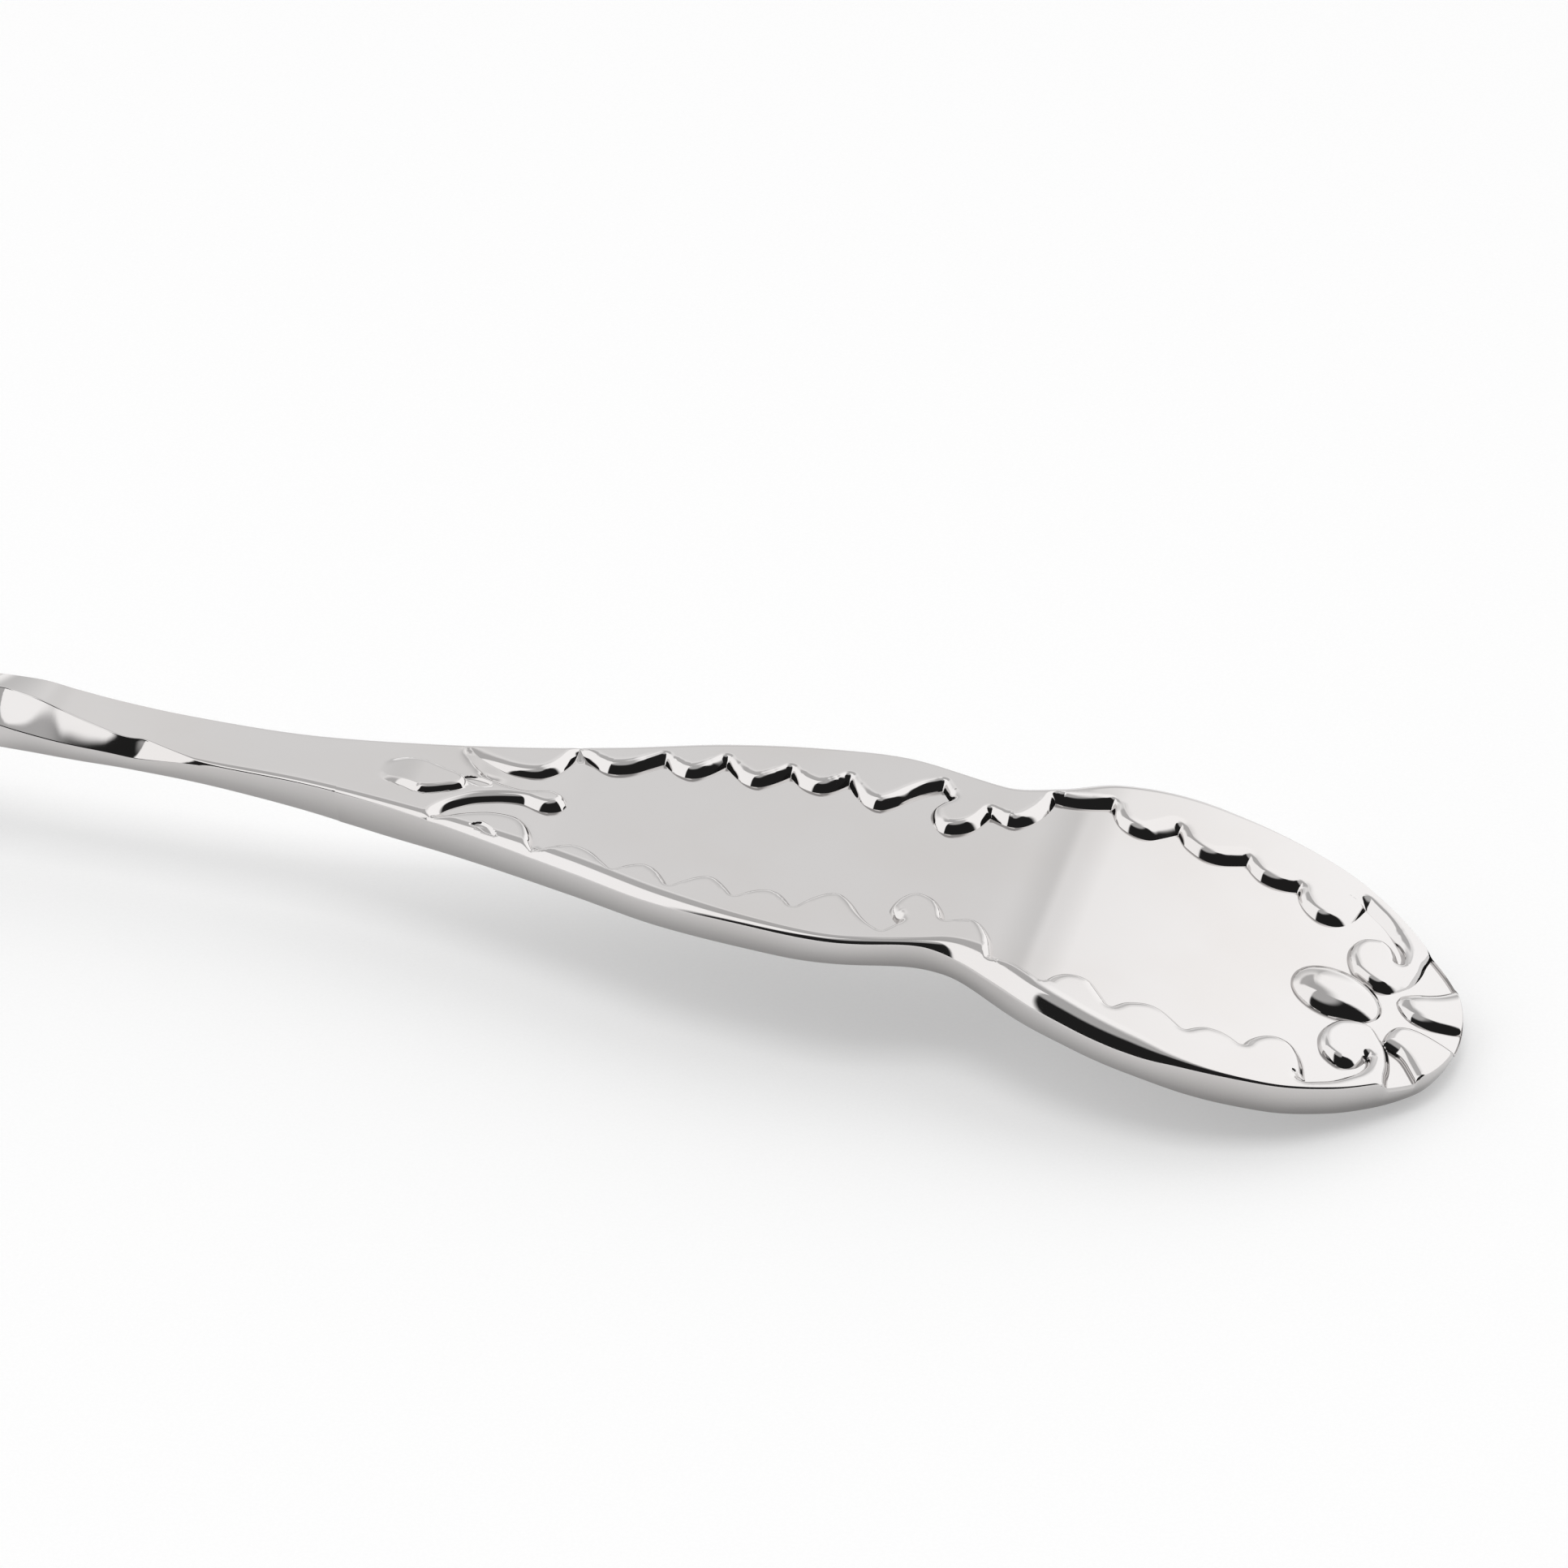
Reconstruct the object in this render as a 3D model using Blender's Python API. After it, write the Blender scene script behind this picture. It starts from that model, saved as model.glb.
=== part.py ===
"""A long-handled mixing spoon: a stamped bowl and a stamped, ornamented handle brazed to a twisted bar.

The spoon lies on its table, z = 0, on the underside of the bowl and on the tip of the handle.
X runs along it, with the tip of the handle at the +X end. Handle places are given as a distance
from the tip of the handle and a distance from the centre line.
"""
import math

import bmesh
import bpy
from mathutils import Vector

MM = 0.001


def in_mm(*points):
    return [tuple(value * MM for value in point) for point in points]


# Driving dimensions of the whole spoon
LENGTH = 330.0 * MM
BAR_SIDE = 3.3 * MM
BAR_CHAMFER = 0.3 * MM
TWIST_QUARTER_TURNS = 27
TWIST_RUN_IN = 10.2 * MM
STEM_STEP = 1.3 * MM

# Brazed joints: a turned spigot on the stem in a drilled socket, with a filler shim in the seam
SPIGOT_DIAMETER = 1.3 * MM
SPIGOT_LENGTH = 5.0 * MM
SOCKET_CLEARANCE = 0.3 * MM
SHIM_THICKNESS = 0.4 * MM
ROUND_SIDES = 16

# Bowl
BOWL_LENGTH = 44.0 * MM
BOWL_WIDTH = 27.0 * MM
BOWL_RIM_HEIGHT = 8.4 * MM
BOWL_SHEET = 1.0 * MM
BOWL_EGG = 0.12
BOWL_SEGMENTS = 40
BOWL_RINGS = 20
BOWL_NECK_LENGTH = 14.0 * MM
BOWL_NECK_OVERLAP = 4.0 * MM
BOWL_NECK_WIDTH = 7.0 * MM
BOWL_NECK_THICKNESS = 3.0 * MM
BOWL_NECK_STEPS = 18

# Handle blank: outline, thickness and the downward bend of its end
HANDLE_LENGTH = 81.0 * MM
END_LOBE_AT = 14.0 * MM
END_LOBE_WIDTH = 21.4 * MM
WAIST_AT = 25.2 * MM
WAIST_WIDTH = 14.3 * MM
FIRST_LOBE_AT = 30.5 * MM
FIRST_LOBE_WIDTH = 16.3 * MM
NECK_AT = 65.0 * MM
NECK_WIDTH = 3.8 * MM
NECK_THICKNESS = 1.85 * MM
TANG_END_AT = 76.0 * MM
TIP_HALF_WIDTH = 0.3 * MM
TIP_THICKNESS = 1.6 * MM
EDGE_CHAMFER = 0.4 * MM
BAR_RISE = 0.15 * MM
NECK_TOP_DROP = 0.16 * MM
BEND_END_AT = 19.8 * MM
BEND_START_AT = 24.8 * MM
TIP_SLOPE = 0.31
BEND_SLOPE = 0.25
SHANK_SLOPE = 0.012
TIP_SECTIONS = 8
END_SECTIONS = 22
SHANK_SECTIONS = 15
TANG_SECTIONS = 16

# Handle relief: the sunk panel, its scalloped border and the ornament left standing in it
RELIEF_DEPTH = 0.42 * MM
CUT_CLEARANCE = 3.0 * MM
LOBE_POINTS = 7
BEAD_AT = 6.3 * MM
BEAD_LENGTH = 4.7 * MM
BEAD_WIDTH = 3.5 * MM
BEAD_POINTS = 24
WELD_DISTANCE = 0.001 * MM

# Finish: colours, roughness and the angle at which an edge is drawn sharp
SILVER = (0.80, 0.79, 0.78)
FILLER = (0.80, 0.75, 0.66)
HANDLE_ROUGHNESS = 0.10
STEM_ROUGHNESS = 0.14
BOWL_ROUGHNESS = 0.08
FILLER_ROUGHNESS = 0.20
SHARP_ANGLE = math.radians(30)

# Half outline between its named widths: distance from the tip, distance from the centre line
TIP_OUTLINE = in_mm((0.7, 3.3), (1.5, 4.5), (3.0, 6.0), (5.0, 7.75), (8.0, 9.4))
SHOULDER_OUTLINE = in_mm((17.0, 10.4), (20.0, 9.35), (22.6, 7.85))
SHANK_OUTLINE = in_mm((35.0, 7.85), (40.0, 6.95), (45.0, 5.35), (50.0, 3.95), (55.0, 2.85), (60.0, 2.1))

# Thickness of the blade between the tip and the neck: distance from the tip, thickness
BLADE_THICKNESS = in_mm((1.5, 1.85), (5.0, 2.0), (10.0, 2.15), (16.0, 2.2), (20.0, 2.5), (24.0, 2.2),
                        (27.0, 1.85), (33.0, 1.95), (39.0, 2.1), (45.0, 2.3), (55.0, 2.4))

# Cusps of the border: distance from the tip, width of the border there
SHANK_CUSPS = in_mm((46.75, 0.4), (42.65, 1.1), (39.4, 1.75), (36.0, 2.5), (32.95, 2.8), (28.25, 1.45))
WAIST_CUSPS = in_mm((25.35, 2.45), (22.65, 0.85))
END_CUSPS = in_mm((19.6, 1.45), (16.2, 2.7), (12.4, 3.0), (9.6, 2.75), (6.2, 0.85))
SHANK_LOBE_DEPTHS = [depth * MM for depth in (1.35, 1.3, 1.35, 1.25, 2.05)]
WAIST_LOBE_DEPTH = 1.6 * MM
END_LOBE_DEPTHS = [depth * MM for depth in (1.7, 1.45, 1.2, 2.0)]
EVEN_LOBE = 1.0
LEANING_LOBE = 0.75

# Ornament outlines, as distances from the tip and from the centre line
TONGUE = in_mm((46.35, 0.0), (46.55, 0.7), (47.1, 1.15), (47.9, 1.15), (48.9, 0.95), (50.1, 1.25),
               (51.3, 2.0), (52.4, 3.2))
NECK_LEAF = in_mm((51.2, 2.5), (50.2, 1.95), (49.2, 1.75), (48.2, 1.9), (47.5, 2.5), (47.0, 3.5))
WAIST_SCROLL = in_mm((27.4, 4.95), (27.9, 4.75), (28.25, 4.2), (28.1, 3.4), (27.6, 2.85), (26.9, 2.6),
                     (26.2, 2.85), (25.75, 3.5))
TIP_SCROLL = in_mm((5.2, 7.3), (4.4, 6.8), (3.8, 6.1), (3.5, 5.2), (3.6, 4.4), (4.0, 3.8), (4.3, 4.2),
                   (4.45, 4.9), (5.0, 5.2), (5.9, 4.8), (6.4, 3.9), (6.4, 3.0), (5.9, 2.2), (5.1, 1.9),
                   (4.2, 1.8), (3.5, 2.5), (3.0, 3.5), (2.7, 4.6), (2.7, 6.5))
TIP_OPENING = in_mm((2.0, 9.0), (-2.0, 9.0))
TIP_LEAF = in_mm((3.5, 1.3), (3.2, 1.75), (2.5, 2.15), (1.8, 2.4), (1.0, 3.0), (0.2, 3.9), (-0.6, 4.9),
                 (-1.0, 2.6), (0.1, 1.8), (1.0, 0.85), (2.0, 0.5), (3.0, 0.65), (3.5, 1.0))

# Places that follow from the sizes above
TIP_X = LENGTH / 2
HANDLE_FACE_X = TIP_X - HANDLE_LENGTH
STEM_END_X = HANDLE_FACE_X - SHIM_THICKNESS
BOWL_NOSE_X = -LENGTH / 2
BOWL_BACK_X = BOWL_NOSE_X + BOWL_LENGTH
BOWL_FACE_X = BOWL_BACK_X + BOWL_NECK_LENGTH
STEM_START_X = BOWL_FACE_X + SHIM_THICKNESS
STEM_LENGTH = STEM_END_X - STEM_START_X
TWIST_RATE = TWIST_QUARTER_TURNS * math.pi / 2 / (STEM_LENGTH + TWIST_RUN_IN)
RUN_IN_ANGLE = TWIST_RATE * TWIST_RUN_IN / 2
SOCKET_DIAMETER = SPIGOT_DIAMETER + 2 * SOCKET_CLEARANCE

HALF_OUTLINE = (
    [(0.0, 0.0)] + TIP_OUTLINE
    + [(END_LOBE_AT, END_LOBE_WIDTH / 2)] + SHOULDER_OUTLINE
    + [(WAIST_AT, WAIST_WIDTH / 2), (FIRST_LOBE_AT, FIRST_LOBE_WIDTH / 2)] + SHANK_OUTLINE
    + [(NECK_AT, NECK_WIDTH / 2), (TANG_END_AT, BAR_SIDE / 2), (HANDLE_LENGTH, BAR_SIDE / 2)]
)
THICKNESSES = (
    [(0.0, TIP_THICKNESS)] + BLADE_THICKNESS
    + [(NECK_AT, NECK_THICKNESS), (HANDLE_LENGTH, NECK_THICKNESS)]
)
SLOPES = [(0.0, TIP_SLOPE), (BEND_END_AT, BEND_SLOPE), (BEND_START_AT, SHANK_SLOPE),
          (HANDLE_LENGTH, SHANK_SLOPE)]


def smooth_through(knots, place):
    """Value at a place on a smooth curve through knots, which are pairs of place and value."""
    places = [knot[0] for knot in knots]
    values = [knot[1] for knot in knots]
    last = len(knots) - 2
    i = min(max(sum(1 for p in places[1:] if p <= place), 0), last)
    span = places[i + 1] - places[i]
    t = min(max((place - places[i]) / span, 0.0), 1.0)

    def tangent(k):
        before = max(k - 1, 0)
        after = min(k + 1, len(knots) - 1)
        return (values[after] - values[before]) / (places[after] - places[before]) * span

    return (
        values[i] * (1 + 2 * t) * (1 - t) ** 2
        + tangent(i) * t * (1 - t) ** 2
        + values[i + 1] * t * t * (3 - 2 * t)
        + tangent(i + 1) * t * t * (t - 1)
    )


def half_width(distance):
    """Half width of the handle. The root of the distance makes the tip round."""
    knots = [(math.sqrt(place), width) for place, width in HALF_OUTLINE]
    return max(smooth_through(knots, math.sqrt(max(distance, 0.0))), TIP_HALF_WIDTH)


def top_height(distance):
    """Height of the handle's upper face: the slope, linear between its knots, summed from the tip."""
    height = TIP_THICKNESS
    for (start, slope_start), (end, slope_end) in zip(SLOPES, SLOPES[1:]):
        run = min(max(distance, 0.0), end) - start
        if run <= 0:
            break
        slope_here = slope_start + (slope_end - slope_start) * run / (end - start)
        height += run * (slope_start + slope_here) / 2
    return height


def blend(distance, start, end):
    t = min(max((distance - start) / (end - start), 0.0), 1.0)
    return t * t * (3 - 2 * t)


STEM_HEIGHT = top_height(NECK_AT) - NECK_TOP_DROP - NECK_THICKNESS + BAR_RISE + BAR_SIDE / 2


def chamfered_section(x, centre_z, half_y, half_z, chamfer, angle):
    """Eight points of a chamfered rectangle across the X axis, turned about its centre."""
    chamfer = min(chamfer, half_y / 2, half_z / 2)
    corners = [(1, 1), (-1, 1), (-1, -1), (1, -1)]
    ring = []
    for k, (sign_y, sign_z) in enumerate(corners):
        along_z = (sign_y * half_y, sign_z * (half_z - chamfer))
        along_y = (sign_y * (half_y - chamfer), sign_z * half_z)
        ring += [along_z, along_y] if k % 2 == 0 else [along_y, along_z]
    turn_cos = math.cos(angle)
    turn_sin = math.sin(angle)
    turned = [(y * turn_cos - z * turn_sin, y * turn_sin + z * turn_cos) for y, z in ring]
    return [Vector((x, y, centre_z + z)) for y, z in turned]


def bar_section(x, angle):
    """The square bar across the X axis."""
    return chamfered_section(x, STEM_HEIGHT, BAR_SIDE / 2, BAR_SIDE / 2, BAR_CHAMFER, angle)


def add_object(name, mesh, collection):
    obj = bpy.data.objects.new(name, mesh)
    collection.objects.link(obj)
    return obj


def loft(name, rings, collection):
    """A closed solid through rings of equally many points."""
    mesh = bpy.data.meshes.new(name)
    bm = bmesh.new()
    rows = [[bm.verts.new(point) for point in ring] for ring in rings]
    count = len(rows[0])
    for row, following in zip(rows, rows[1:]):
        for k in range(count):
            bm.faces.new((row[k], row[(k + 1) % count], following[(k + 1) % count], following[k]))
    bm.faces.new(list(reversed(rows[0])))
    bm.faces.new(rows[-1])
    bmesh.ops.recalc_face_normals(bm, faces=bm.faces)
    bm.to_mesh(mesh)
    bm.free()
    return add_object(name, mesh, collection)


def rod(name, start_x, end_x, diameter, collection):
    """A round rod on the stem's axis."""
    bpy.ops.mesh.primitive_cylinder_add(
        vertices=ROUND_SIDES, radius=diameter / 2, depth=end_x - start_x,
        location=((start_x + end_x) / 2, 0, STEM_HEIGHT), rotation=(0, math.pi / 2, 0),
    )
    obj = bpy.context.object
    obj.name = name
    for owner in list(obj.users_collection):
        owner.objects.unlink(obj)
    collection.objects.link(obj)
    return obj


def combine(target, tool, operation):
    modifier = target.modifiers.new(operation.lower(), "BOOLEAN")
    modifier.operation = operation
    modifier.object = tool
    modifier.solver = "EXACT"
    tool.hide_render = True
    tool.display_type = "WIRE"


def evaluated_mesh(obj):
    bpy.context.view_layer.update()
    depsgraph = bpy.context.evaluated_depsgraph_get()
    return bpy.data.meshes.new_from_object(obj.evaluated_get(depsgraph))


def lobe(start, end, depth, lean):
    """Points after start along a lobe that swells towards the centre line and ends at the end cusp."""
    points = []
    for k in range(1, LOBE_POINTS + 1):
        t = k / LOBE_POINTS
        swell = depth * math.sin(math.pi * t ** lean)
        points.append((start[0] + (end[0] - start[0]) * t, start[1] + (end[1] - start[1]) * t - swell))
    return points


def cusps_from(border):
    return [(distance, half_width(distance) - width) for distance, width in border]


def half_panel():
    """One side of the sunk panel's outline, from the neck to the tip."""
    shank = cusps_from(SHANK_CUSPS)
    waist = cusps_from(WAIST_CUSPS)
    end = cusps_from(END_CUSPS)
    leans = [EVEN_LOBE] * (len(SHANK_LOBE_DEPTHS) - 1) + [LEANING_LOBE]
    outline = TONGUE + NECK_LEAF + [shank[0]]
    for first, second, depth, lean in zip(shank, shank[1:], SHANK_LOBE_DEPTHS, leans):
        outline += lobe(first, second, depth, lean)
    outline += WAIST_SCROLL + [waist[0]] + lobe(waist[0], waist[1], WAIST_LOBE_DEPTH, LEANING_LOBE)
    outline += [end[0]]
    for first, second, depth in zip(end, end[1:], END_LOBE_DEPTHS):
        outline += lobe(first, second, depth, EVEN_LOBE)
    return outline + TIP_SCROLL + TIP_OPENING


def mirrored(points):
    return [(distance, -side) for distance, side in reversed(points)]


def bead_outline():
    turns = [2 * math.pi * k / BEAD_POINTS for k in range(BEAD_POINTS)]
    return [(BEAD_AT + BEAD_LENGTH / 2 * math.cos(a), BEAD_WIDTH / 2 * math.sin(a)) for a in turns]


def handle_stations():
    """Distances from the tip of the sections through the handle, closer where it curves."""
    tip_end = TIP_OUTLINE[-2][0]
    stations = [tip_end * (k / TIP_SECTIONS) ** 2 for k in range(TIP_SECTIONS + 1)]
    stretches = ((tip_end, FIRST_LOBE_AT, END_SECTIONS), (FIRST_LOBE_AT, NECK_AT, SHANK_SECTIONS),
                 (NECK_AT, HANDLE_LENGTH, TANG_SECTIONS))
    for start, end, count in stretches:
        stations += [start + (end - start) * k / count for k in range(1, count + 1)]
    return stations


def handle_section(distance):
    """The flat blade, which thickens and turns into the twisted bar behind its neck."""
    to_neck = blend(distance, FIRST_LOBE_AT, NECK_AT)
    to_bar = blend(distance, NECK_AT, TANG_END_AT)
    top = top_height(distance) - NECK_TOP_DROP * to_neck
    thickness = smooth_through(THICKNESSES, distance)
    blade_centre = top - thickness / 2
    centre = blade_centre + (STEM_HEIGHT - blade_centre) * to_bar
    half_z = (thickness + (BAR_SIDE - thickness) * to_bar) / 2
    chamfer = EDGE_CHAMFER + (BAR_CHAMFER - EDGE_CHAMFER) * to_bar
    turning = max(distance - (HANDLE_LENGTH - TWIST_RUN_IN), 0.0)
    angle = -TWIST_RATE / TWIST_RUN_IN * turning ** 2 / 2
    return chamfered_section(TIP_X - distance, centre, half_width(distance), half_z, chamfer, angle)


def panel_cutter(collection):
    """The relief between the border and the ornament, which follows the bend of the handle."""
    side = half_panel()
    loops = [side + mirrored(side[1:]), bead_outline(), TIP_LEAF, mirrored(TIP_LEAF)]
    curve = bpy.data.curves.new("panel_outline", "CURVE")
    curve.dimensions = "2D"
    curve.fill_mode = "BOTH"
    curve.extrude = CUT_CLEARANCE
    for loop in loops:
        spline = curve.splines.new("POLY")
        spline.points.add(len(loop) - 1)
        for point, (distance, across) in zip(spline.points, loop):
            point.co = (TIP_X - distance, across, 0, 1)
        spline.use_cyclic_u = True
    flat = add_object("panel_outline", curve, collection)
    mesh = evaluated_mesh(flat)
    bpy.data.objects.remove(flat)
    bm = bmesh.new()
    bm.from_mesh(mesh)
    bmesh.ops.remove_doubles(bm, verts=bm.verts, dist=WELD_DISTANCE)
    for distance in handle_stations():
        everything = bm.verts[:] + bm.edges[:] + bm.faces[:]
        bmesh.ops.bisect_plane(bm, geom=everything, plane_co=(TIP_X - distance, 0, 0), plane_no=(1, 0, 0))
    for vert in bm.verts:
        floor = top_height(TIP_X - vert.co.x) - RELIEF_DEPTH
        vert.co.z += floor + CUT_CLEARANCE
    bmesh.ops.recalc_face_normals(bm, faces=bm.faces)
    bm.to_mesh(mesh)
    bm.free()
    return add_object("panel_cutter", mesh, collection)


def make_handle(parts, cutters):
    handle = loft("handle", [handle_section(distance) for distance in handle_stations()], parts)
    combine(handle, panel_cutter(cutters), "DIFFERENCE")
    socket_end = HANDLE_FACE_X + SPIGOT_LENGTH
    combine(handle, rod("handle_socket", STEM_END_X, socket_end, SOCKET_DIAMETER, cutters), "DIFFERENCE")
    return handle


def make_stem(parts, cutters):
    count = math.ceil(STEM_LENGTH / STEM_STEP)
    rings = []
    for k in range(count + 1):
        travel = STEM_LENGTH * k / count
        rings.append(bar_section(STEM_END_X - travel, -RUN_IN_ANGLE - TWIST_RATE * travel))
    stem = loft("stem", rings, parts)
    reach = SPIGOT_LENGTH + SHIM_THICKNESS - SOCKET_CLEARANCE
    spigots = rod("stem_spigots", STEM_START_X - reach, STEM_END_X + reach, SPIGOT_DIAMETER, cutters)
    combine(stem, spigots, "UNION")
    return stem


def make_shim(name, start_x, angle, parts, cutters):
    """A thin filler plate of the bar's own section, with a hole for the spigot."""
    end_x = start_x + SHIM_THICKNESS
    shim = loft(name, [bar_section(start_x, angle), bar_section(end_x, angle)], parts)
    hole = rod(name + "_hole", start_x - SHIM_THICKNESS, end_x + SHIM_THICKNESS, SOCKET_DIAMETER, cutters)
    combine(shim, hole, "DIFFERENCE")
    return shim


def egg(name, half_length, half_width_y, depth, collection):
    """A full egg on the rim plane of the bowl, flat at its lowest point."""
    mesh = bpy.data.meshes.new(name)
    bm = bmesh.new()
    bmesh.ops.create_uvsphere(bm, u_segments=BOWL_SEGMENTS, v_segments=BOWL_RINGS, radius=1.0)
    flat = -math.cos(math.pi / BOWL_RINGS)
    for vert in bm.verts:
        x, y, z = vert.co
        vert.co.x = BOWL_NOSE_X + BOWL_LENGTH / 2 + x * half_length
        vert.co.y = y * half_width_y * (1 - BOWL_EGG * x)
        vert.co.z = BOWL_RIM_HEIGHT + max(z, flat) / -flat * depth
    bm.to_mesh(mesh)
    bm.free()
    return add_object(name, mesh, collection)


def bowl_neck_ring(t):
    """Sections of the neck from the bar's square, t = 0, to the wide root in the bowl, t = 1."""
    ease = t * t * (3 - 2 * t)
    x = BOWL_FACE_X - (BOWL_NECK_LENGTH + BOWL_NECK_OVERLAP) * t
    root_centre = BOWL_RIM_HEIGHT - BOWL_NECK_THICKNESS / 2
    centre = STEM_HEIGHT + (root_centre - STEM_HEIGHT) * ease
    half_y = (BAR_SIDE + (BOWL_NECK_WIDTH - BAR_SIDE) * ease) / 2
    half_z = (BAR_SIDE + (BOWL_NECK_THICKNESS - BAR_SIDE) * ease) / 2
    travel = (BOWL_NECK_LENGTH + BOWL_NECK_OVERLAP) * t
    left = max(TWIST_RUN_IN - travel, 0.0)
    angle = TWIST_RATE / TWIST_RUN_IN * left ** 2 / 2
    return chamfered_section(x, centre, half_y, half_z, BAR_CHAMFER, angle)


def make_bowl(parts, cutters):
    outer = egg("bowl", BOWL_LENGTH / 2, BOWL_WIDTH / 2, BOWL_RIM_HEIGHT, parts)
    steps = [k / BOWL_NECK_STEPS for k in range(BOWL_NECK_STEPS + 1)]
    neck = loft("bowl_neck", [bowl_neck_ring(t) for t in steps], cutters)
    inner = egg("bowl_inside", BOWL_LENGTH / 2 - BOWL_SHEET, BOWL_WIDTH / 2 - BOWL_SHEET,
                BOWL_RIM_HEIGHT - BOWL_SHEET, cutters)
    bm = bmesh.new()
    bm.from_mesh(outer.data)
    everything = bm.verts[:] + bm.edges[:] + bm.faces[:]
    cut = bmesh.ops.bisect_plane(bm, geom=everything, plane_co=(0, 0, BOWL_RIM_HEIGHT),
                                 plane_no=(0, 0, 1), clear_outer=True)
    rim = [item for item in cut["geom_cut"] if isinstance(item, bmesh.types.BMEdge)]
    bmesh.ops.contextual_create(bm, geom=rim)
    bmesh.ops.recalc_face_normals(bm, faces=bm.faces)
    bm.to_mesh(outer.data)
    bm.free()
    combine(outer, neck, "UNION")
    combine(outer, inner, "DIFFERENCE")
    socket_end = BOWL_FACE_X - SPIGOT_LENGTH
    combine(outer, rod("bowl_socket", socket_end, STEM_START_X, SOCKET_DIAMETER, cutters), "DIFFERENCE")
    return outer


def metal(name, colour, roughness):
    material = bpy.data.materials.new(name)
    material.use_nodes = True
    shader = material.node_tree.nodes["Principled BSDF"]
    shader.inputs["Base Color"].default_value = (*colour, 1.0)
    shader.inputs["Metallic"].default_value = 1.0
    shader.inputs["Roughness"].default_value = roughness
    return material


def finish(obj, material):
    obj.data.materials.clear()
    obj.data.materials.append(material)
    obj.data.shade_smooth()
    obj.data.set_sharp_from_angle(angle=SHARP_ANGLE)


def main():
    for obj in list(bpy.data.objects):
        bpy.data.objects.remove(obj)
    parts = bpy.data.collections.new("mixing_spoon")
    cutters = bpy.data.collections.new("cutters")
    bpy.context.scene.collection.children.link(parts)
    bpy.context.scene.collection.children.link(cutters)

    bowl_angle = -RUN_IN_ANGLE - TWIST_RATE * STEM_LENGTH
    finish(make_handle(parts, cutters), metal("handle_metal", SILVER, HANDLE_ROUGHNESS))
    finish(make_stem(parts, cutters), metal("stem_metal", SILVER, STEM_ROUGHNESS))
    finish(make_bowl(parts, cutters), metal("bowl_metal", SILVER, BOWL_ROUGHNESS))
    shims = (("handle_braze_shim", STEM_END_X, -RUN_IN_ANGLE), ("bowl_braze_shim", BOWL_FACE_X, bowl_angle))
    for name, start_x, angle in shims:
        shim = make_shim(name, start_x, angle, parts, cutters)
        finish(shim, metal(name + "_metal", FILLER, FILLER_ROUGHNESS))


main()
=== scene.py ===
import math

import bmesh
import bpy
import numpy as np
from mathutils import Matrix, Vector
from mathutils.geometry import delaunay_2d_cdt
from mathutils.kdtree import KDTree


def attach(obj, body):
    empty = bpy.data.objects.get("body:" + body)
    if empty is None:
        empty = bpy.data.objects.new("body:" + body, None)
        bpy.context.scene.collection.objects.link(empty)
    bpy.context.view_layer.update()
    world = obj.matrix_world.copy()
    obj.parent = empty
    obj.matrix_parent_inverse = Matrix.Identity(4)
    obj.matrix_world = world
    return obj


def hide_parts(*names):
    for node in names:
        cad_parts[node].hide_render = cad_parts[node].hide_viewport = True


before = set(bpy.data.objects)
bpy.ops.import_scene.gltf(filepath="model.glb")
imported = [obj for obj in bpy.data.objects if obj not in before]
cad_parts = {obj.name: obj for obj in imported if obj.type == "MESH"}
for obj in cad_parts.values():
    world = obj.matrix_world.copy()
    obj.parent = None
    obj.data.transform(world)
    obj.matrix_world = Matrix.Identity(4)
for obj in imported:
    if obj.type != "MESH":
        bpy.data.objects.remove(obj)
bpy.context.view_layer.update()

# All lengths are millimetres until a mesh is written. Places on the handle are a distance
# from its tip and a distance from its centre line, which is negative on the near side.
MM = 0.001

# Sizes shared with the solids
LENGTH = 330.0
HANDLE_LENGTH = 81.0
NECK_AT = 65.0
FIRST_LOBE_AT = 30.5
NECK_THICKNESS = 1.85
NECK_TOP_DROP = 0.16
BAR_SIDE = 3.3
BAR_RISE = 0.15
SHIM_THICKNESS = 0.4
TWIST_QUARTER_TURNS = 27
TWIST_RUN_IN = 10.2
TIP_THICKNESS = 1.6
BOWL_LENGTH = 44.0
BOWL_WIDTH = 27.0
BOWL_RIM_HEIGHT = 8.4
BOWL_SHEET = 1.0
BOWL_EGG = 0.12
BOWL_FLAT = math.pi / 20
BOWL_NECK_LENGTH = 14.0
BOWL_NECK_WIDTH = 7.0
BOWL_NECK_THICKNESS = 3.0

# Handle, by distance from its tip: half its width, its thickness, what the near side lacks of its
# width, and the slope of its top
HALF_OUTLINE = [
    (0, 0), (0.7, 3.3), (1.5, 4.5), (3, 6), (5, 7.75), (8, 9.4), (14, 10.7), (17, 10.6), (20, 9.6),
    (22.6, 8), (25.2, 7.15), (30.5, 8.15), (35, 7.85), (40, 6.95), (45, 5.35), (50, 3.95), (55, 2.85),
    (60, 2.1), (65, 1.9), (76, 1.65), (81, 1.65),
]
THICKNESSES = [
    (0, 1.55), (1.5, 1.95), (3, 2.35), (5, 2.4), (8, 2.5), (12, 2.6), (14, 2.52), (17, 2.65), (20, 2.88),
    (22, 3.08), (23.5, 2.85), (25, 2.43), (27, 2.12), (30, 2.07), (33, 2.25), (39, 2.38), (45, 2.62),
    (52, 2.8), (56, 2.82), (60, 2.47), (65, 1.88), (69, 1.62), (72, 1.7), (81, 1.85),
]
NEAR_TRIM = [(0, 0), (10, 0), (13, 0.2), (15, 0.45), (18, 0.5), (20, 0.3), (22.5, 0), (81, 0)]
SLOPES = [(0, 0.318), (19, 0.258), (24, 0.012), (81, 0.012)]

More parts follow.
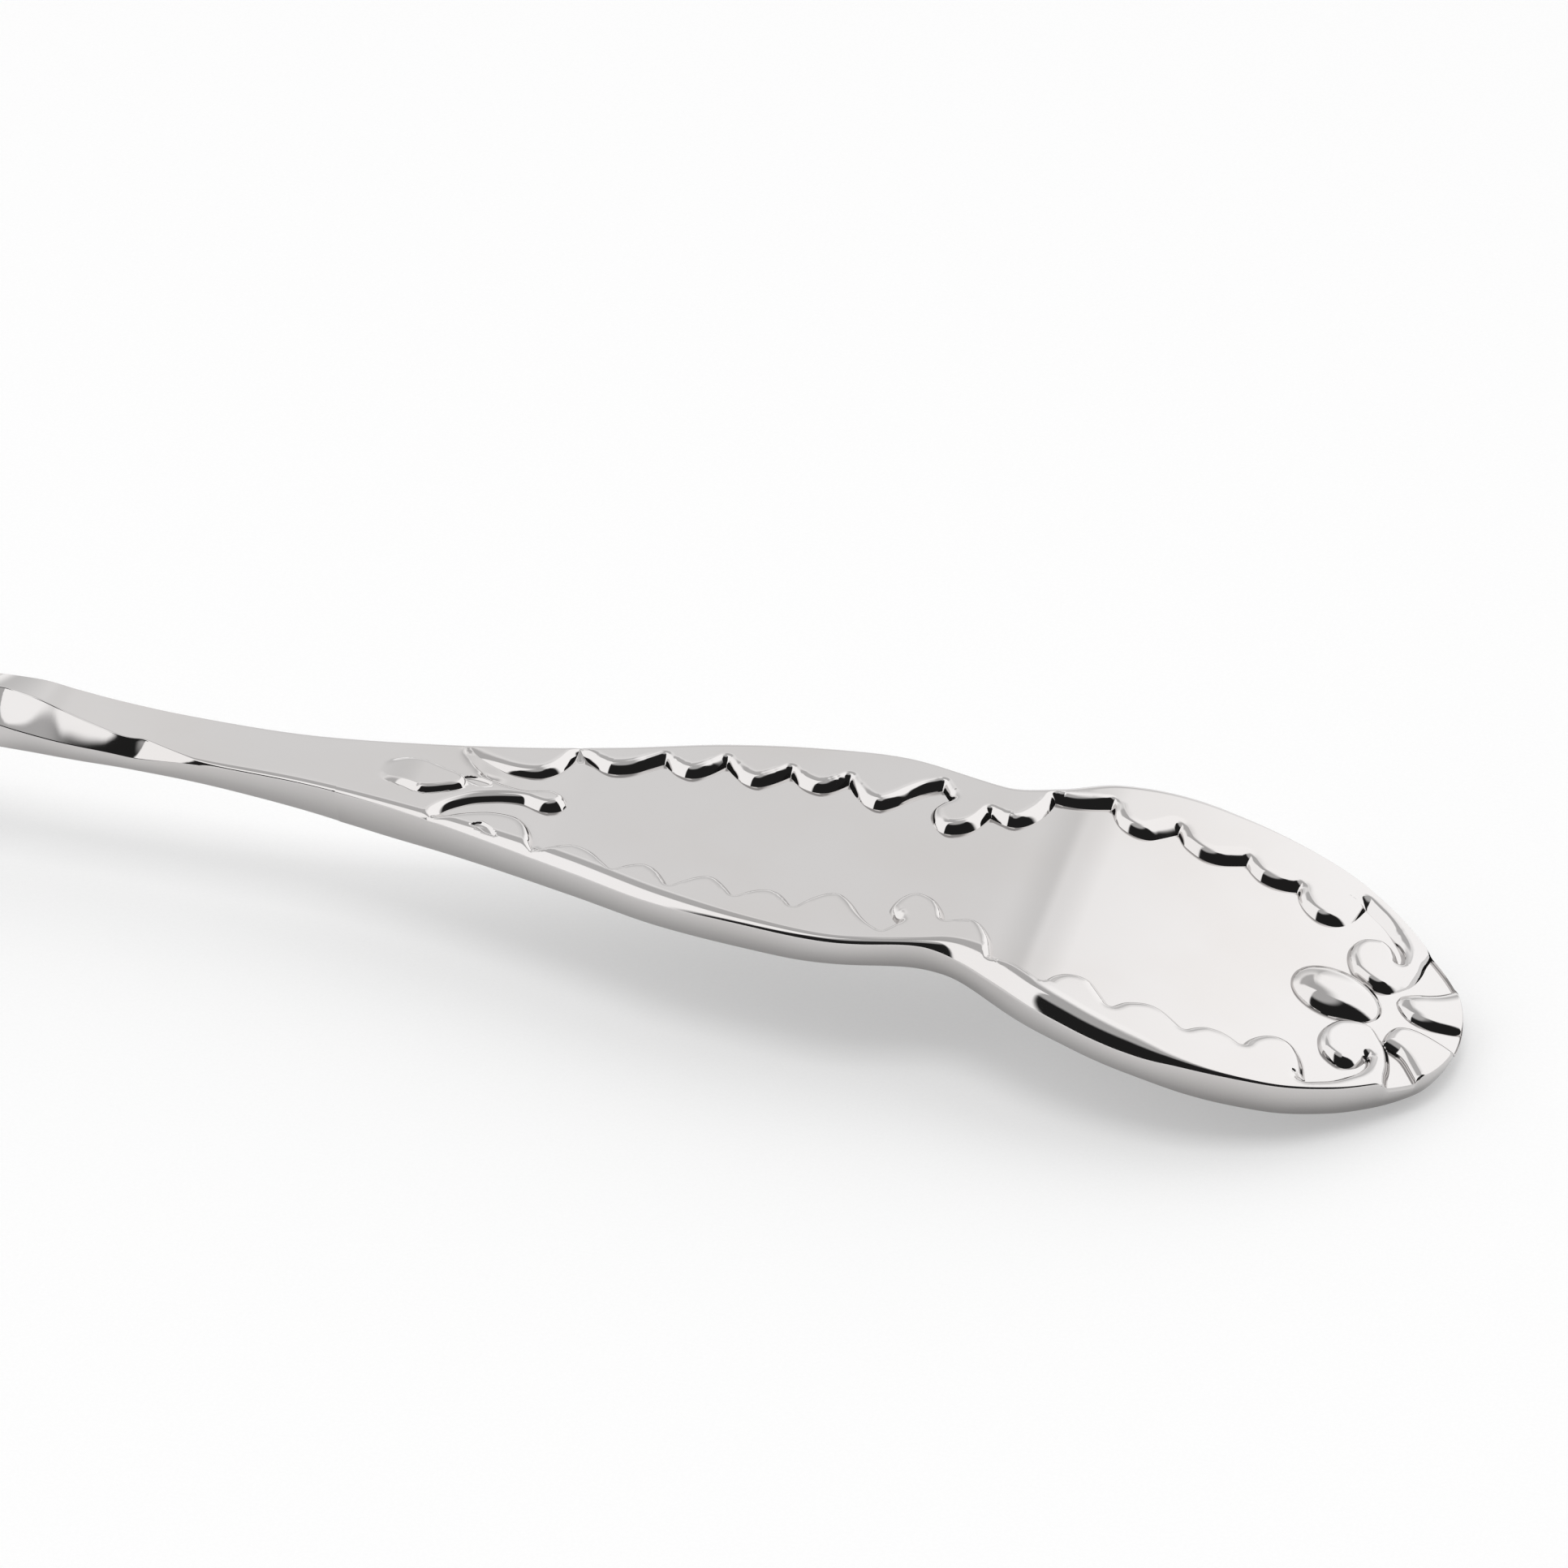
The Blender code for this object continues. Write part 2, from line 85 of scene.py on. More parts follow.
# Edge of the handle, as arcs by the angle that they face from straight up: a roll at the rim of the
# top face, a shoulder, a tight turn, an undercut wall and a lower edge. The far edge is keener.
END_RADII = [
    (0, 0.16), (6.5, 0.16), (8.4, 0.18), (10.3, 0.28), (12.3, 0.55), (14.3, 1), (16.4, 1.2), (20.4, 1.4),
    (22.4, 1.45), (24.2, 1.1),
]
ROLL_RADII = END_RADII + [
    (26.2, 0.6), (29, 0.5), (33, 0.6), (38.8, 1), (44.8, 1), (47.6, 0.95), (52, 0.8), (58, 0.6),
    (64, 0.45), (67, 0.12), (81, 0.1),
]
SHOULDER_RADII = END_RADII + [
    (26.2, 0.35), (29, 0.3), (33, 0.3), (36, 0.3), (39.5, 0.55), (42, 0.7), (46, 0.7), (49, 0.55),
    (53, 0.25), (58, 0.1), (64, 0.08), (81, 0.08),
]
FAR_EDGE = 0.45
NEAR_TO_FAR = (-1.0, 1.0)
TURN_RADIUS = 0.15
LOWER_RADIUS = 0.35
ROLL_END = math.radians(34)
SHOULDER_END = math.radians(72)
TURN_END = math.radians(98)
WALL_END = math.radians(120)

# Relief: depth of the panel, slope at the foot of a wall by its run, and the roundness of the islands
RELIEF_DEPTH = 0.55
RUNS_AND_SLOPES = ((0.85, 1.0), (2.2, 0.95))
LEAST_POWER = 1.05
DOME_ROUNDNESS = 0.7

# Where the relief fades: start, end and the share that is left. It fades towards the rim but not at
# the tip, and towards the neck, where more of it goes on the far side.
EDGE_FADE = (0.05, 0.9, 0.1)
TIP_FADE = (2.6, 4.2, 1.0)
NECK_FADE = (46.0, 50.0, 0.7)
FAR_FADE = (49.6, 52.2, 0.3)
FAR_SIDE = (0.8, 1.4)

# Outline of the sunk panel, on one side of the centre line, and the run of the walls round it
NOTCH_RUN = 0.5
LOBE_RUN = 0.85
END_LOBE_RUN = 0.9
SCROLL_RUN = 0.75
OPEN_RUN = 0.6
TIP_SCROLL_RUNS = (1.05, 0.75, 0.75)
TONGUE = [
    (46.4, 0), (46.6, 0.5), (47.1, 0.78), (47.5, 0.82), (48, 0.7), (48.6, 0.52), (49.4, 0.6),
    (50.1, 0.78), (50.9, 1.1), (51.6, 1.6), (52.2, 2.2), (52.65, 3), (52.95, 3.8), (53.2, 4.6),
]
NECK_LEAF = [
    (53.05, 4.6), (52.75, 3.8), (52.3, 3), (51.75, 2.5), (51.2, 2.22), (50.57, 1.98), (50, 1.82),
    (49.4, 1.76), (48.8, 1.79), (48.25, 1.96), (47.84, 2.3), (47.54, 2.7), (47.26, 3.3), (47.1, 3.9),
    (46.98, 4.5),
]
LOBES = [
    [(46.7, 4.25), (46.2, 3.9), (45.6, 3.53), (45.05, 3.38), (44.35, 3.52), (43.8, 3.8), (43.25, 4.3),
     (42.6, 4.9)],
    [(42.6, 4.9), (42.2, 4.5), (41.75, 4.22), (41.2, 4.05), (40.7, 4.15), (40.3, 4.42), (39.9, 4.9),
     (39.5, 5.5)],
    [(39.5, 5.5), (39.05, 5), (38.5, 4.5), (37.9, 4.22), (37.4, 4.25), (37, 4.5), (36.55, 4.95),
     (36.1, 5.5)],
    [(36.1, 5.5), (35.6, 4.97), (35.05, 4.65), (34.45, 4.53), (33.95, 4.66), (33.6, 4.92), (33.3, 5.26),
     (33.05, 5.6)],
    [(33.05, 5.6), (32.6, 4.9), (32.05, 4.3), (31.45, 3.95), (30.95, 3.93), (30.6, 4.12), (30.1, 4.62),
     (29.55, 5.35), (28.95, 5.97), (28.33, 6.4)],
]
WAIST_SCROLL = [
    (28.33, 6.4), (27.95, 5.85), (27.7, 5.45), (28.1, 5), (28.4, 4.3), (28.1, 3.4), (27.5, 2.85),
    (26.87, 2.85), (26.2, 3.2), (25.75, 3.85), (25.42, 4.72),
]
WAIST_LOBES = [
    [(25.42, 4.72), (24.96, 4.5), (24.44, 4.29), (23.9, 4.31), (23.4, 4.66), (22.9, 5.45), (22.64, 6.22),
     (22.53, 6.96)],
    [(22.53, 6.96), (22.1, 6.92), (21.35, 7.02), (20.6, 7.29), (19.8, 7.72)],
]
END_LOBES = [
    [(19.8, 7.72), (19.54, 7.15), (19.05, 6.6), (18.45, 6.32), (17.9, 6.27), (17.44, 6.42), (17.05, 6.8),
     (16.3, 7.65)],
    [(16.3, 7.65), (15.88, 7.08), (15.35, 6.71), (14.75, 6.46), (14.2, 6.43), (13.7, 6.57), (13.2, 6.86),
     (12.62, 7.25)],
    [(12.62, 7.25), (12.23, 6.85), (11.8, 6.54), (11.3, 6.4), (10.8, 6.39), (10.3, 6.51), (9.84, 6.72)],
    [(9.84, 6.72), (9.68, 6.25), (9.33, 5.73), (8.85, 5.32), (8.3, 5.1), (7.72, 5.15), (7.3, 5.4),
     (6.95, 5.86), (6.68, 6.45), (6.4, 7.4)],
]
TIP_SCROLL = [
    (6.4, 7.5), (5.86, 7.08), (5.3, 6.66), (4.78, 6.1), (4.3, 5.5), (4, 4.8), (3.98, 4.1), (4.1, 4.45),
    (4.35, 4.95), (4.7, 5.25), (5.1, 5.36), (5.7, 5.15), (6.2, 4.75), (6.52, 4), (6.52, 3.3),
    (6.33, 2.75), (6, 2.21), (5.53, 1.85), (4.97, 1.58), (4.46, 1.52), (4, 1.68), (3.5, 2.3), (3.07, 3),
    (2.8, 3.98), (2.7, 5), (2.4, 6.6),
]
TIP_OPENING = [(1.8, 9), (-2, 9)]

# Islands at the tip: two petals and a bead, which has a centre, half a length and half a width
TIP_LEAF = [
    (3.55, 1.3), (3.45, 1.75), (3.15, 2.1), (2.7, 2.45), (2.2, 2.75), (1.7, 3.15), (1.08, 3.85),
    (0.4, 4.9), (-0.6, 5.6), (-1.2, 3), (-0.6, 1.5), (0.05, 0.78), (1.05, 0.33), (1.9, 0.16),
    (2.52, 0.24), (2.97, 0.5), (3.35, 0.9),
]
NEAR_LEAF = [
    (3.6, 2.3), (3.55, 2.62), (3.28, 2.68), (2.95, 2.75), (2.6, 2.9), (2.3, 3.2), (1.9, 3.75),
    (1.46, 4.35), (0.6, 5.3), (-0.6, 5.9), (-1.2, 3), (-0.6, 1.5), (0.05, 0.95), (1.05, 0.6), (1.9, 0.45),
    (2.6, 0.5), (3.2, 0.85), (3.5, 1.5),
]
PETAL_RUN = 1.1
NEAR_PETAL_RUN = 0.7
BEAD = (6.37, 2.33, 1.85)
BEAD_RUN = 1.85
BEAD_HEIGHT = 0.95

# Husk on the neck, whose near wall turns from round to flat, and the small hollows beside it
HUSK = [
    (55.9, -0.75), (55.3, -0.93), (54.65, -1.13), (54.1, -1.32), (53.65, -1.36), (53.1, -1.2),
    (52.5, -0.92), (52, -0.68), (51.75, -0.4), (51.75, 0.1), (52.1, 0.5), (52.7, 0.7), (53.4, 0.95),
    (53.9, 1.15), (54.6, 1.3), (55.5, 1.2), (56.2, 0.6), (56.4, -0.2),
]
HUSK_HEIGHT = 0.3
HUSK_RUNS = (0.42, 0.32)
HUSK_POWERS = ((0.32, 0.42), (1.1, 3.0))
HUSK_FADE = (54.0, 56.4)
HUSK_TURN = (53.8, 54.1)
HUSK_NEAR = (0.2, 0.6)
DIMPLES = [
    [(52, 0.46), (51.6, 0.6), (51.1, 0.56), (50.5, 0.36), (50.4, 0.1), (50.9, -0.12), (51.5, 0.05),
     (51.9, 0.25)],
    [(50.5, -3.42), (50.2, -3.2), (49.9, -3.18), (49.45, -3.42), (49, -3.95), (49.55, -3.88),
     (50.15, -3.6)],
]
DIMPLE_HEIGHT = -0.12
DIMPLE_RUN = 0.25
DIMPLE_POWERS = ((0.25,), (3.0,))

# Tang: how far its top rises to the bar, the height of the flat facet that opens under its ridge, and
# how far that facet cuts in on the near side
TANG_RISE = [
    (58, 0), (63.5, 0), (67.5, 0.12), (70.5, 0.38), (73, 0.72), (74.6, 1), (76, 1.12), (78, 1.33),
    (81, 1.55),
]
TANG_FACET = [
    (58, 0), (63.8, 0), (65.7, 0.12), (68.4, 0.52), (69, 0.6), (70.5, 0.68), (72.5, 0.88), (74.5, 1.05),
    (76, 1.15), (78, 1.4), (81, 2.2),
]
TANG_SCOOPS = [
    (58, 0), (63.8, 0), (65.6, 0.08), (66.3, 0.24), (67, 0.42), (67.7, 0.6), (68.4, 0.78), (68.75, 0.79),
    (69.2, 0.67), (69.6, 0.63), (70.2, 0.7), (70.9, 0.84), (71.8, 1.03), (72.7, 1.22), (73.6, 1.41),
    (74.5, 1.57), (75.5, 1.66), (76.5, 1.62), (78, 1), (81, 0),
]
TWIST_START_AT = 73.9
TWIST_RAMP = 4.0
SQUARE_FROM = 76.5

# Mesh density
SEAM_AT = 58.0
PAST_SEAM = 6.0
PLAN_SIDE = 11.0
OUTLINE_SAMPLES = 6000
OUTLINE_STEP = 0.14
SQUARE_OFF = 1.0
SPLINE_SAMPLES = 40
CONTOUR_STEP = 0.08
CONTOUR_SLACK = 0.004
CORNER_FAN = math.radians(14)
WALL_STEPS = 9
WALL_BUNCHING = 1.5
SHOULDER_STEPS = 9
TURN_SHARES = np.array((1, 2, 3, 4, 5, 6, 7, 7.75, 8)) / 8
WALL_SHARES = np.array((0.12, 1, 2, 3, 4, 5)) / 5
LOWER_SHARES = np.arange(1, 7) / 6
GRIDS = [(-0.5, 9.5, 9.5, 0.14), (49.0, 58.0, 4.2, 0.12), (-0.5, 58.0, PLAN_SIDE, 0.32)]
GRID_GAP = 0.62
GRID_MARGIN = 0.1
FINE_GAP = 0.022
ORNAMENT_MARGIN = 0.03
SHOULDER_MARGIN = 0.015
SEAM_MARGIN = 0.05
FOOT_OFFSET = 0.006
LOW_GRID_STEP = 0.6
FLAT_TOP_STEPS = 16
FLAT_BOTTOM_STEPS = 10
TANG_STEPS = 110
BAR_CORNER = 0.2
BAR_CORNER_STEPS = 6
BAR_FLAT_STEPS = 8
STEM_STEP = 0.4
SHIM_STEPS = 6
SHIM_BULGE = 0.02
BOWL_SEGMENTS = 144
BOWL_RINGS = 80
BOWL_NECK_STEPS = 60
BOWL_NECK_OVERLAP = 4.0
BOWL_EDGE = 0.25
BOWL_EDGE_STEPS = 4
BOWL_SHARP = math.radians(35)

# Numerical steps
TINY = 1e-12
MERGE_GAP = 1e-6
SLOPE_STEP = 0.01
SHARE_STEP = 0.002
BATCH = 2000

# Camera
LENS = 200.0
SENSOR = 36.0
CAMERA_TARGET = (0.130, 0.0, 0.0108514)
CAMERA_SWING = 14.73
CAMERA_HEIGHT = 35.0
CAMERA_DISTANCE = 0.43808

# Finishes: colour, worn colour, least and most roughness, depth of the polish lines, stretch of their grain
SILVER = ((0.61, 0.595, 0.59), (0.595, 0.575, 0.565), 0.035, 0.075, 0.0004, (0.12, 1.0, 1.0))
BAR_SILVER = ((0.605, 0.59, 0.585), (0.59, 0.57, 0.56), 0.05, 0.11, 0.0006, (0.15, 1.0, 1.0))
BOWL_SILVER = ((0.61, 0.595, 0.59), (0.595, 0.575, 0.565), 0.04, 0.09, 0.0004, (0.4, 1.0, 1.0))
FILLER = ((0.60, 0.56, 0.49), (0.55, 0.50, 0.42), 0.12, 0.25, 0.002, (1.0, 1.0, 1.0))
HAZE_NOISE = (120.0, 3.0)
HAZE_WEAR = (0.35, 0.75)
LINE_NOISE = (900.0, 4.0)
HAZE_SHARE = 0.5
ROUGH_FROM = (0.35, 0.7)

# Painted shade on faces that point down, which darkens them as the shadowed table under them would: share of
# the tone, and the upward facing over which it sets in
UNDER_SHADE = 0.55
UNDER_FACING = (-0.55, -0.1)

# Studio, in degrees and levels: pale paper behind with a bright low band, bright panels left and right,
# a grey corner at the back left, a grey patch overhead that spares a stretch beside the camera, and a
# dark opening in front. Sides are two ramps, up and down.
PAPER_HEIGHT = (15.0, 65.0)
PAPER_LEVELS = (0.8, 1.4)
PAPER_EDGE_SHADE = (-8.0, 0.0, 1.0, 0.88)
LOW_HEIGHT = (4.0, 16.0)
LOW_LEVEL = 1.25
RIGHT_EDGE = (0.0, 3.0, 0.0, 0.4)
RIGHT_FADE = (3.0, 14.0, 0.0, 0.6)
RIGHT_LEVEL = 1.45
LEFT_EDGE = (-75.0, -50.0)
LEFT_LEVEL = 1.4
CORNER_SIDES = (-178.0, -165.0, -104.0, -92.0)
CORNER_HEIGHT = (42.0, 54.0)
CORNER_LEVEL = 0.65
OVERHEAD = (62.0, 80.0)
OVERHEAD_LEVEL = 0.6
BESIDE = (-98.0, -88.0, -40.0, -32.0)
FRONT_SIDES = (-36.0, -29.0, 90.0, 100.0)
FRONT_TOP = (58.0, 70.0)
FRONT_LEVEL = 0.02
LAMP_PLACE = (0.11, -0.12, 0.8)
LAMP_AIM = (0.11, 0.0, 0.0)
LAMP_SIZE = 0.3
LAMP_POWER = 1.4

# Table, in metres. Its lift is what the eye, gloss and glass see on top of its own light.
FLOOR_SIZE = 3.0
FLOOR_DROP = 0.00002
FLOOR_COLOUR = (0.61, 0.61, 0.61)
FLOOR_TOOTH = (0.595, 0.595, 0.595)
TOOTH_NOISE = (6000.0, 4.0)
TOOTH_RANGE = (0.3, 0.7)
FLOOR_LIFT = 0.37

# Places along the spoon
TIP_X = LENGTH / 2
HANDLE_FACE_X = TIP_X - HANDLE_LENGTH
STEM_END_X = HANDLE_FACE_X - SHIM_THICKNESS
BOWL_NOSE_X = -LENGTH / 2
BOWL_FACE_X = BOWL_NOSE_X + BOWL_LENGTH + BOWL_NECK_LENGTH
STEM_START_X = BOWL_FACE_X + SHIM_THICKNESS
STEM_LENGTH = STEM_END_X - STEM_START_X
TWIST_RATE = TWIST_QUARTER_TURNS * math.pi / 2 / (STEM_LENGTH + TWIST_RUN_IN)
RUN_IN_ANGLE = TWIST_RATE * TWIST_RUN_IN / 2


def smooth_through(knots, places):
    """Values at places on a smooth curve through knots, which are pairs of place and value."""
    at, value = np.array(knots, dtype=float).T
    count = len(at)
    before = np.maximum(np.arange(count) - 1, 0)
    after = np.minimum(np.arange(count) + 1, count - 1)
    tangent = (value[after] - value[before]) / (at[after] - at[before])
    places = np.asarray(places, dtype=float)
    i = np.clip(np.searchsorted(at, places, side="right") - 1, 0, count - 2)
    span = at[i + 1] - at[i]
    t = np.clip((places - at[i]) / span, 0, 1)
    return (
        value[i] * (1 + 2 * t) * (1 - t) ** 2 + tangent[i] * span * t * (1 - t) ** 2
        + value[i + 1] * t * t * (3 - 2 * t) + tangent[i + 1] * span * t * t * (t - 1)
    )


def blend(places, start, end):
    t = np.clip((np.asarray(places, dtype=float) - start) / (end - start), 0, 1)
    return t * t * (3 - 2 * t)


def slope(height, places):
    return (height(places + SLOPE_STEP) - height(places - SLOPE_STEP)) / (2 * SLOPE_STEP)


def plan_gradient(height, places, step):
    sides = [height(places + offset) - height(places - offset) for offset in np.eye(2) * step]
    return np.stack(sides, axis=1) / (2 * step)


def unit(rows):
    return rows / np.maximum(np.linalg.norm(rows, axis=-1), TINY)[..., None]


def turned(y, z, angle):
    return y * math.cos(angle) - z * math.sin(angle), y * math.sin(angle) + z * math.cos(angle)


def half_width(distance):
    knots = [(math.sqrt(place), width) for place, width in HALF_OUTLINE]
    return np.maximum(smooth_through(knots, np.sqrt(np.maximum(distance, 0))), 0)


def top_height(distance):
    distance = np.asarray(distance, dtype=float)
    height = np.full(distance.shape, TIP_THICKNESS)
    for (start, slope_start), (end, slope_end) in zip(SLOPES, SLOPES[1:]):
        run = np.clip(distance - start, 0, end - start)
        slope_here = slope_start + (slope_end - slope_start) * run / (end - start)
        height = height + run * (slope_start + slope_here) / 2
    return height - NECK_TOP_DROP * blend(distance, FIRST_LOBE_AT, NECK_AT)


def thickness(distance):
    return smooth_through(THICKNESSES, distance)


def bottom_height(distance):
    return top_height(distance) - thickness(distance)


def fall(start, end):
    """How far an arc of radius 1 comes down between two angles from straight up."""
    return math.cos(start) - math.cos(end)


def edge_arcs(distance, side):
    """Arcs of the handle's edge from the top face round to the underside: end angle and radius of each."""
    keen = 1 - FAR_EDGE * blend(side, *NEAR_TO_FAR)
    roll = smooth_through(ROLL_RADII, distance) * keen
    shoulder = smooth_through(SHOULDER_RADII, distance) * keen
    left = thickness(distance) - roll * fall(0.0, ROLL_END) - shoulder * fall(ROLL_END, SHOULDER_END)
    left = left - TURN_RADIUS * fall(SHOULDER_END, TURN_END) - LOWER_RADIUS * fall(WALL_END, math.pi)
    wall = left / fall(TURN_END, WALL_END)
    return [(ROLL_END, roll), (SHOULDER_END, shoulder), (TURN_END, TURN_RADIUS), (WALL_END, wall),
            (math.pi, LOWER_RADIUS)]


def past_shoulder(angle):
    return min(max((angle - SHOULDER_END) / (TURN_END - SHOULDER_END), 0.0), 1.0)


def edge_point(distance, side, angle, facet=0.0):
    """Distance inside the outline and drop below the top where the edge faces an angle from straight up.
    A flat facet can be let in between the shoulder and the undercut wall."""
    inside = np.zeros(np.shape(distance))
    drop = facet * past_shoulder(angle)
    start = 0.0
    for end, radius in edge_arcs(distance, side):
        if start == TURN_END:
            radius = radius - facet / fall(TURN_END, WALL_END)
        here = min(max(angle, start), end)
        widest = min(max(math.pi / 2, start), end)
        inside = inside + radius * (math.sin(widest) - math.sin(here))
        drop = drop + radius * fall(start, here)
        start = end
    return inside, drop


STEM_HEIGHT = float(top_height(NECK_AT)) - NECK_THICKNESS + BAR_RISE + BAR_SIDE / 2


def travel(points):
    return np.concatenate([[0], np.cumsum(np.hypot(*np.diff(points, axis=0).T))])


def resample(points, step):
    """Points at even steps along an open line, both ends kept."""
    points = np.asarray(points, dtype=float)
    travelled = travel(points)
    count = max(int(round(travelled[-1] / step)), 2)
    places = np.linspace(0, travelled[-1], count + 1)
    return np.stack([np.interp(places, travelled, points[:, k]) for k in (0, 1)], axis=1)


def spline(points):
    """A smooth line through chosen points."""
    points = np.asarray(points, dtype=float)
    travelled = travel(points)
    places = np.linspace(0, travelled[-1], SPLINE_SAMPLES * len(points))
    return np.stack([smooth_through(list(zip(travelled, points[:, k])), places) for k in (0, 1)], axis=1)


def closed_line(points):
    return resample(spline(points + points[:1]), CONTOUR_STEP)[:-1]


def mirrored(points):
    turned_round = np.array(points[::-1])
    turned_round[:, 1] *= -1
    return turned_round


def ellipse(centre, half_length, half_across):
    count = int(2 * math.pi * half_length / CONTOUR_STEP)
    turns = np.linspace(0, 2 * math.pi, count, endpoint=False)
    return np.stack([centre + half_length * np.cos(turns), half_across * np.sin(turns)], axis=1)


def half_panel():
    """One side of the sunk panel's outline from the neck to the tip: smooth pieces with the wall's run at
    the start, the middle and the end of each."""
    notched = (NOTCH_RUN, LOBE_RUN, NOTCH_RUN)
    pieces = [(TONGUE, (OPEN_RUN,) * 3), (NECK_LEAF, (OPEN_RUN, LOBE_RUN, NOTCH_RUN))]
    pieces += [(points, notched) for points in LOBES]
    pieces.append((WAIST_SCROLL, (NOTCH_RUN, SCROLL_RUN, NOTCH_RUN)))
    pieces += [(points, notched) for points in WAIST_LOBES]
    pieces += [(points, (END_LOBE_RUN,) * 3) for points in END_LOBES]
    pieces.append((TIP_SCROLL, TIP_SCROLL_RUNS))
    pieces.append((TIP_SCROLL[-1:] + TIP_OPENING, (SCROLL_RUN,) * 3))
    return pieces


def join(pieces):
    """Points at even steps along smooth pieces, each with the run of the wall above it."""
    rows = []
    for points, (start, middle, end) in pieces:
        row = resample(spline(points) if len(points) > 3 else points, CONTOUR_STEP)
        t = np.linspace(0, 1, len(row))
        edge = np.where(t < 0.5, start, end)
        row = np.column_stack([row, edge + (middle - edge) * np.sin(math.pi * t)])
        if rows and np.hypot(*(rows[-1][-1] - row[0])[:2]) < CONTOUR_STEP / 4:
            row = row[1:]
        rows.append(row)
    return np.concatenate(rows)


class Loop:
    """A closed line with the raised ground on one side of it, and distances from it."""

    def __init__(self, points, raised_inside):
        self.runs = points[:, 2] if points.shape[1] > 2 else np.ones(len(points))
        points = points[:, :2]
        self.points = points
        self.raised_inside = raised_inside
        self.tree = KDTree(len(points))
        for i, (a, b) in enumerate(points):
            self.tree.insert((a, b, 0), i)
        self.tree.balance()
        following = np.roll(points, -1, axis=0)
        self.before = unit(points - np.roll(points, 1, axis=0))
        self.after = unit(following - points)
        area = np.sum(points[:, 0] * following[:, 1] - following[:, 0] * points[:, 1])
        self.side = 1.0 if (area > 0) == raised_inside else -1.0
        mean = unit(self.before + self.after)
        self.normals = np.stack([-mean[:, 1], mean[:, 0]], axis=1) * self.side

    def nearest(self, places):
        """Distance to the line, the nearest point on it, and the run there."""
        count = len(self.points)
        index = np.array([self.tree.find((a, b, 0))[1] for a, b in places], dtype=int)
        best = np.full(len(places), np.inf)
        foot = np.zeros_like(places)
        run = np.zeros(len(places))
        for start in (index - 1, index):
            first = start % count
            second = (start + 1) % count
            a = self.points[first]
            along = self.points[second] - a
            length = np.maximum(np.einsum("ij,ij->i", along, along), TINY)
            t = np.clip(np.einsum("ij,ij->i", places - a, along) / length, 0, 1)
            point = a + along * t[:, None]
            gap = np.hypot(*(places - point).T)
            nearer = gap < best
            best = np.where(nearer, gap, best)
            foot = np.where(nearer[:, None], point, foot)
            run = np.where(nearer, self.runs[first] * (1 - t) + self.runs[second] * t, run)
        return best, foot, run

    def holds(self, places):
        a = self.points
        b = np.roll(a, -1, axis=0)
        rise = np.where(b[:, 1] == a[:, 1], TINY, b[:, 1] - a[:, 1])
        inside = np.zeros(len(places), dtype=bool)
        for first in range(0, len(places), BATCH):
            p = places[first:first + BATCH]
            above = (a[None, :, 1] > p[:, None, 1]) != (b[None, :, 1] > p[:, None, 1])
            cross = a[None, :, 0] + (p[:, None, 1] - a[None, :, 1]) / rise * (b[:, 0] - a[:, 0])
            inside[first:first + BATCH] = np.sum(above & (p[:, None, 0] < cross), axis=1) % 2 == 1
        return inside

    def raised(self, places):
        """Distance from the line, positive on the raised side, and its gradient."""
        gap, foot, _ = self.nearest(places)
        sign = np.where(self.holds(places) == self.raised_inside, 1.0, -1.0)
        return gap * sign, unit(places - foot) * sign[:, None]

    def contours(self, offsets):
        """Points at even distances from the line on its raised side."""
        before = self.before
        after = self.after
        start = np.arctan2(before[:, 0], -before[:, 1])
        turn = np.arctan2(before[:, 0] * after[:, 1] - before[:, 1] * after[:, 0],
                          np.einsum("ij,ij->i", before, after))
        rows = []
        for point, angle, change in zip(self.points, start, turn):
            fan = max(int(abs(change) / CORNER_FAN), 1)
            for k in range(fan):
                facing = angle + change * (k + 0.5) / fan
                rows.append((*point, self.side * math.cos(facing), self.side * math.sin(facing)))
        rows = np.array(rows)
        found = []
        for offset in offsets:
            places = rows[:, :2] + rows[:, 2:] * offset
            gap, _ = self.raised(places)
            found.append(places[gap > offset - CONTOUR_SLACK])
        return np.concatenate(found)


def outline_line(end_at):
    """The handle's outline from one side round the tip to the other side, and its inward normals."""
    root = np.linspace(0, math.sqrt(end_at), OUTLINE_SAMPLES)
    far = np.stack([root ** 2, half_width(root ** 2)], axis=1)[::-1]
    far = resample(far, OUTLINE_STEP)
    near = mirrored(far)[1:]
    near[:, 1] += smooth_through(NEAR_TRIM, near[:, 0])
    line = np.concatenate([far, near])
    ahead = unit(np.gradient(line, axis=0))
    inward = np.stack([-ahead[:, 1], ahead[:, 0]], axis=1)
    if inward[0, 1] > 0:
        inward = -inward
    level = blend(line[:, 0], end_at - SQUARE_OFF, end_at)[:, None]
    straight = np.stack([np.zeros(len(line)), -np.sign(line[:, 1])], axis=1)
    return line, unit(inward * (1 - level) + straight * level)


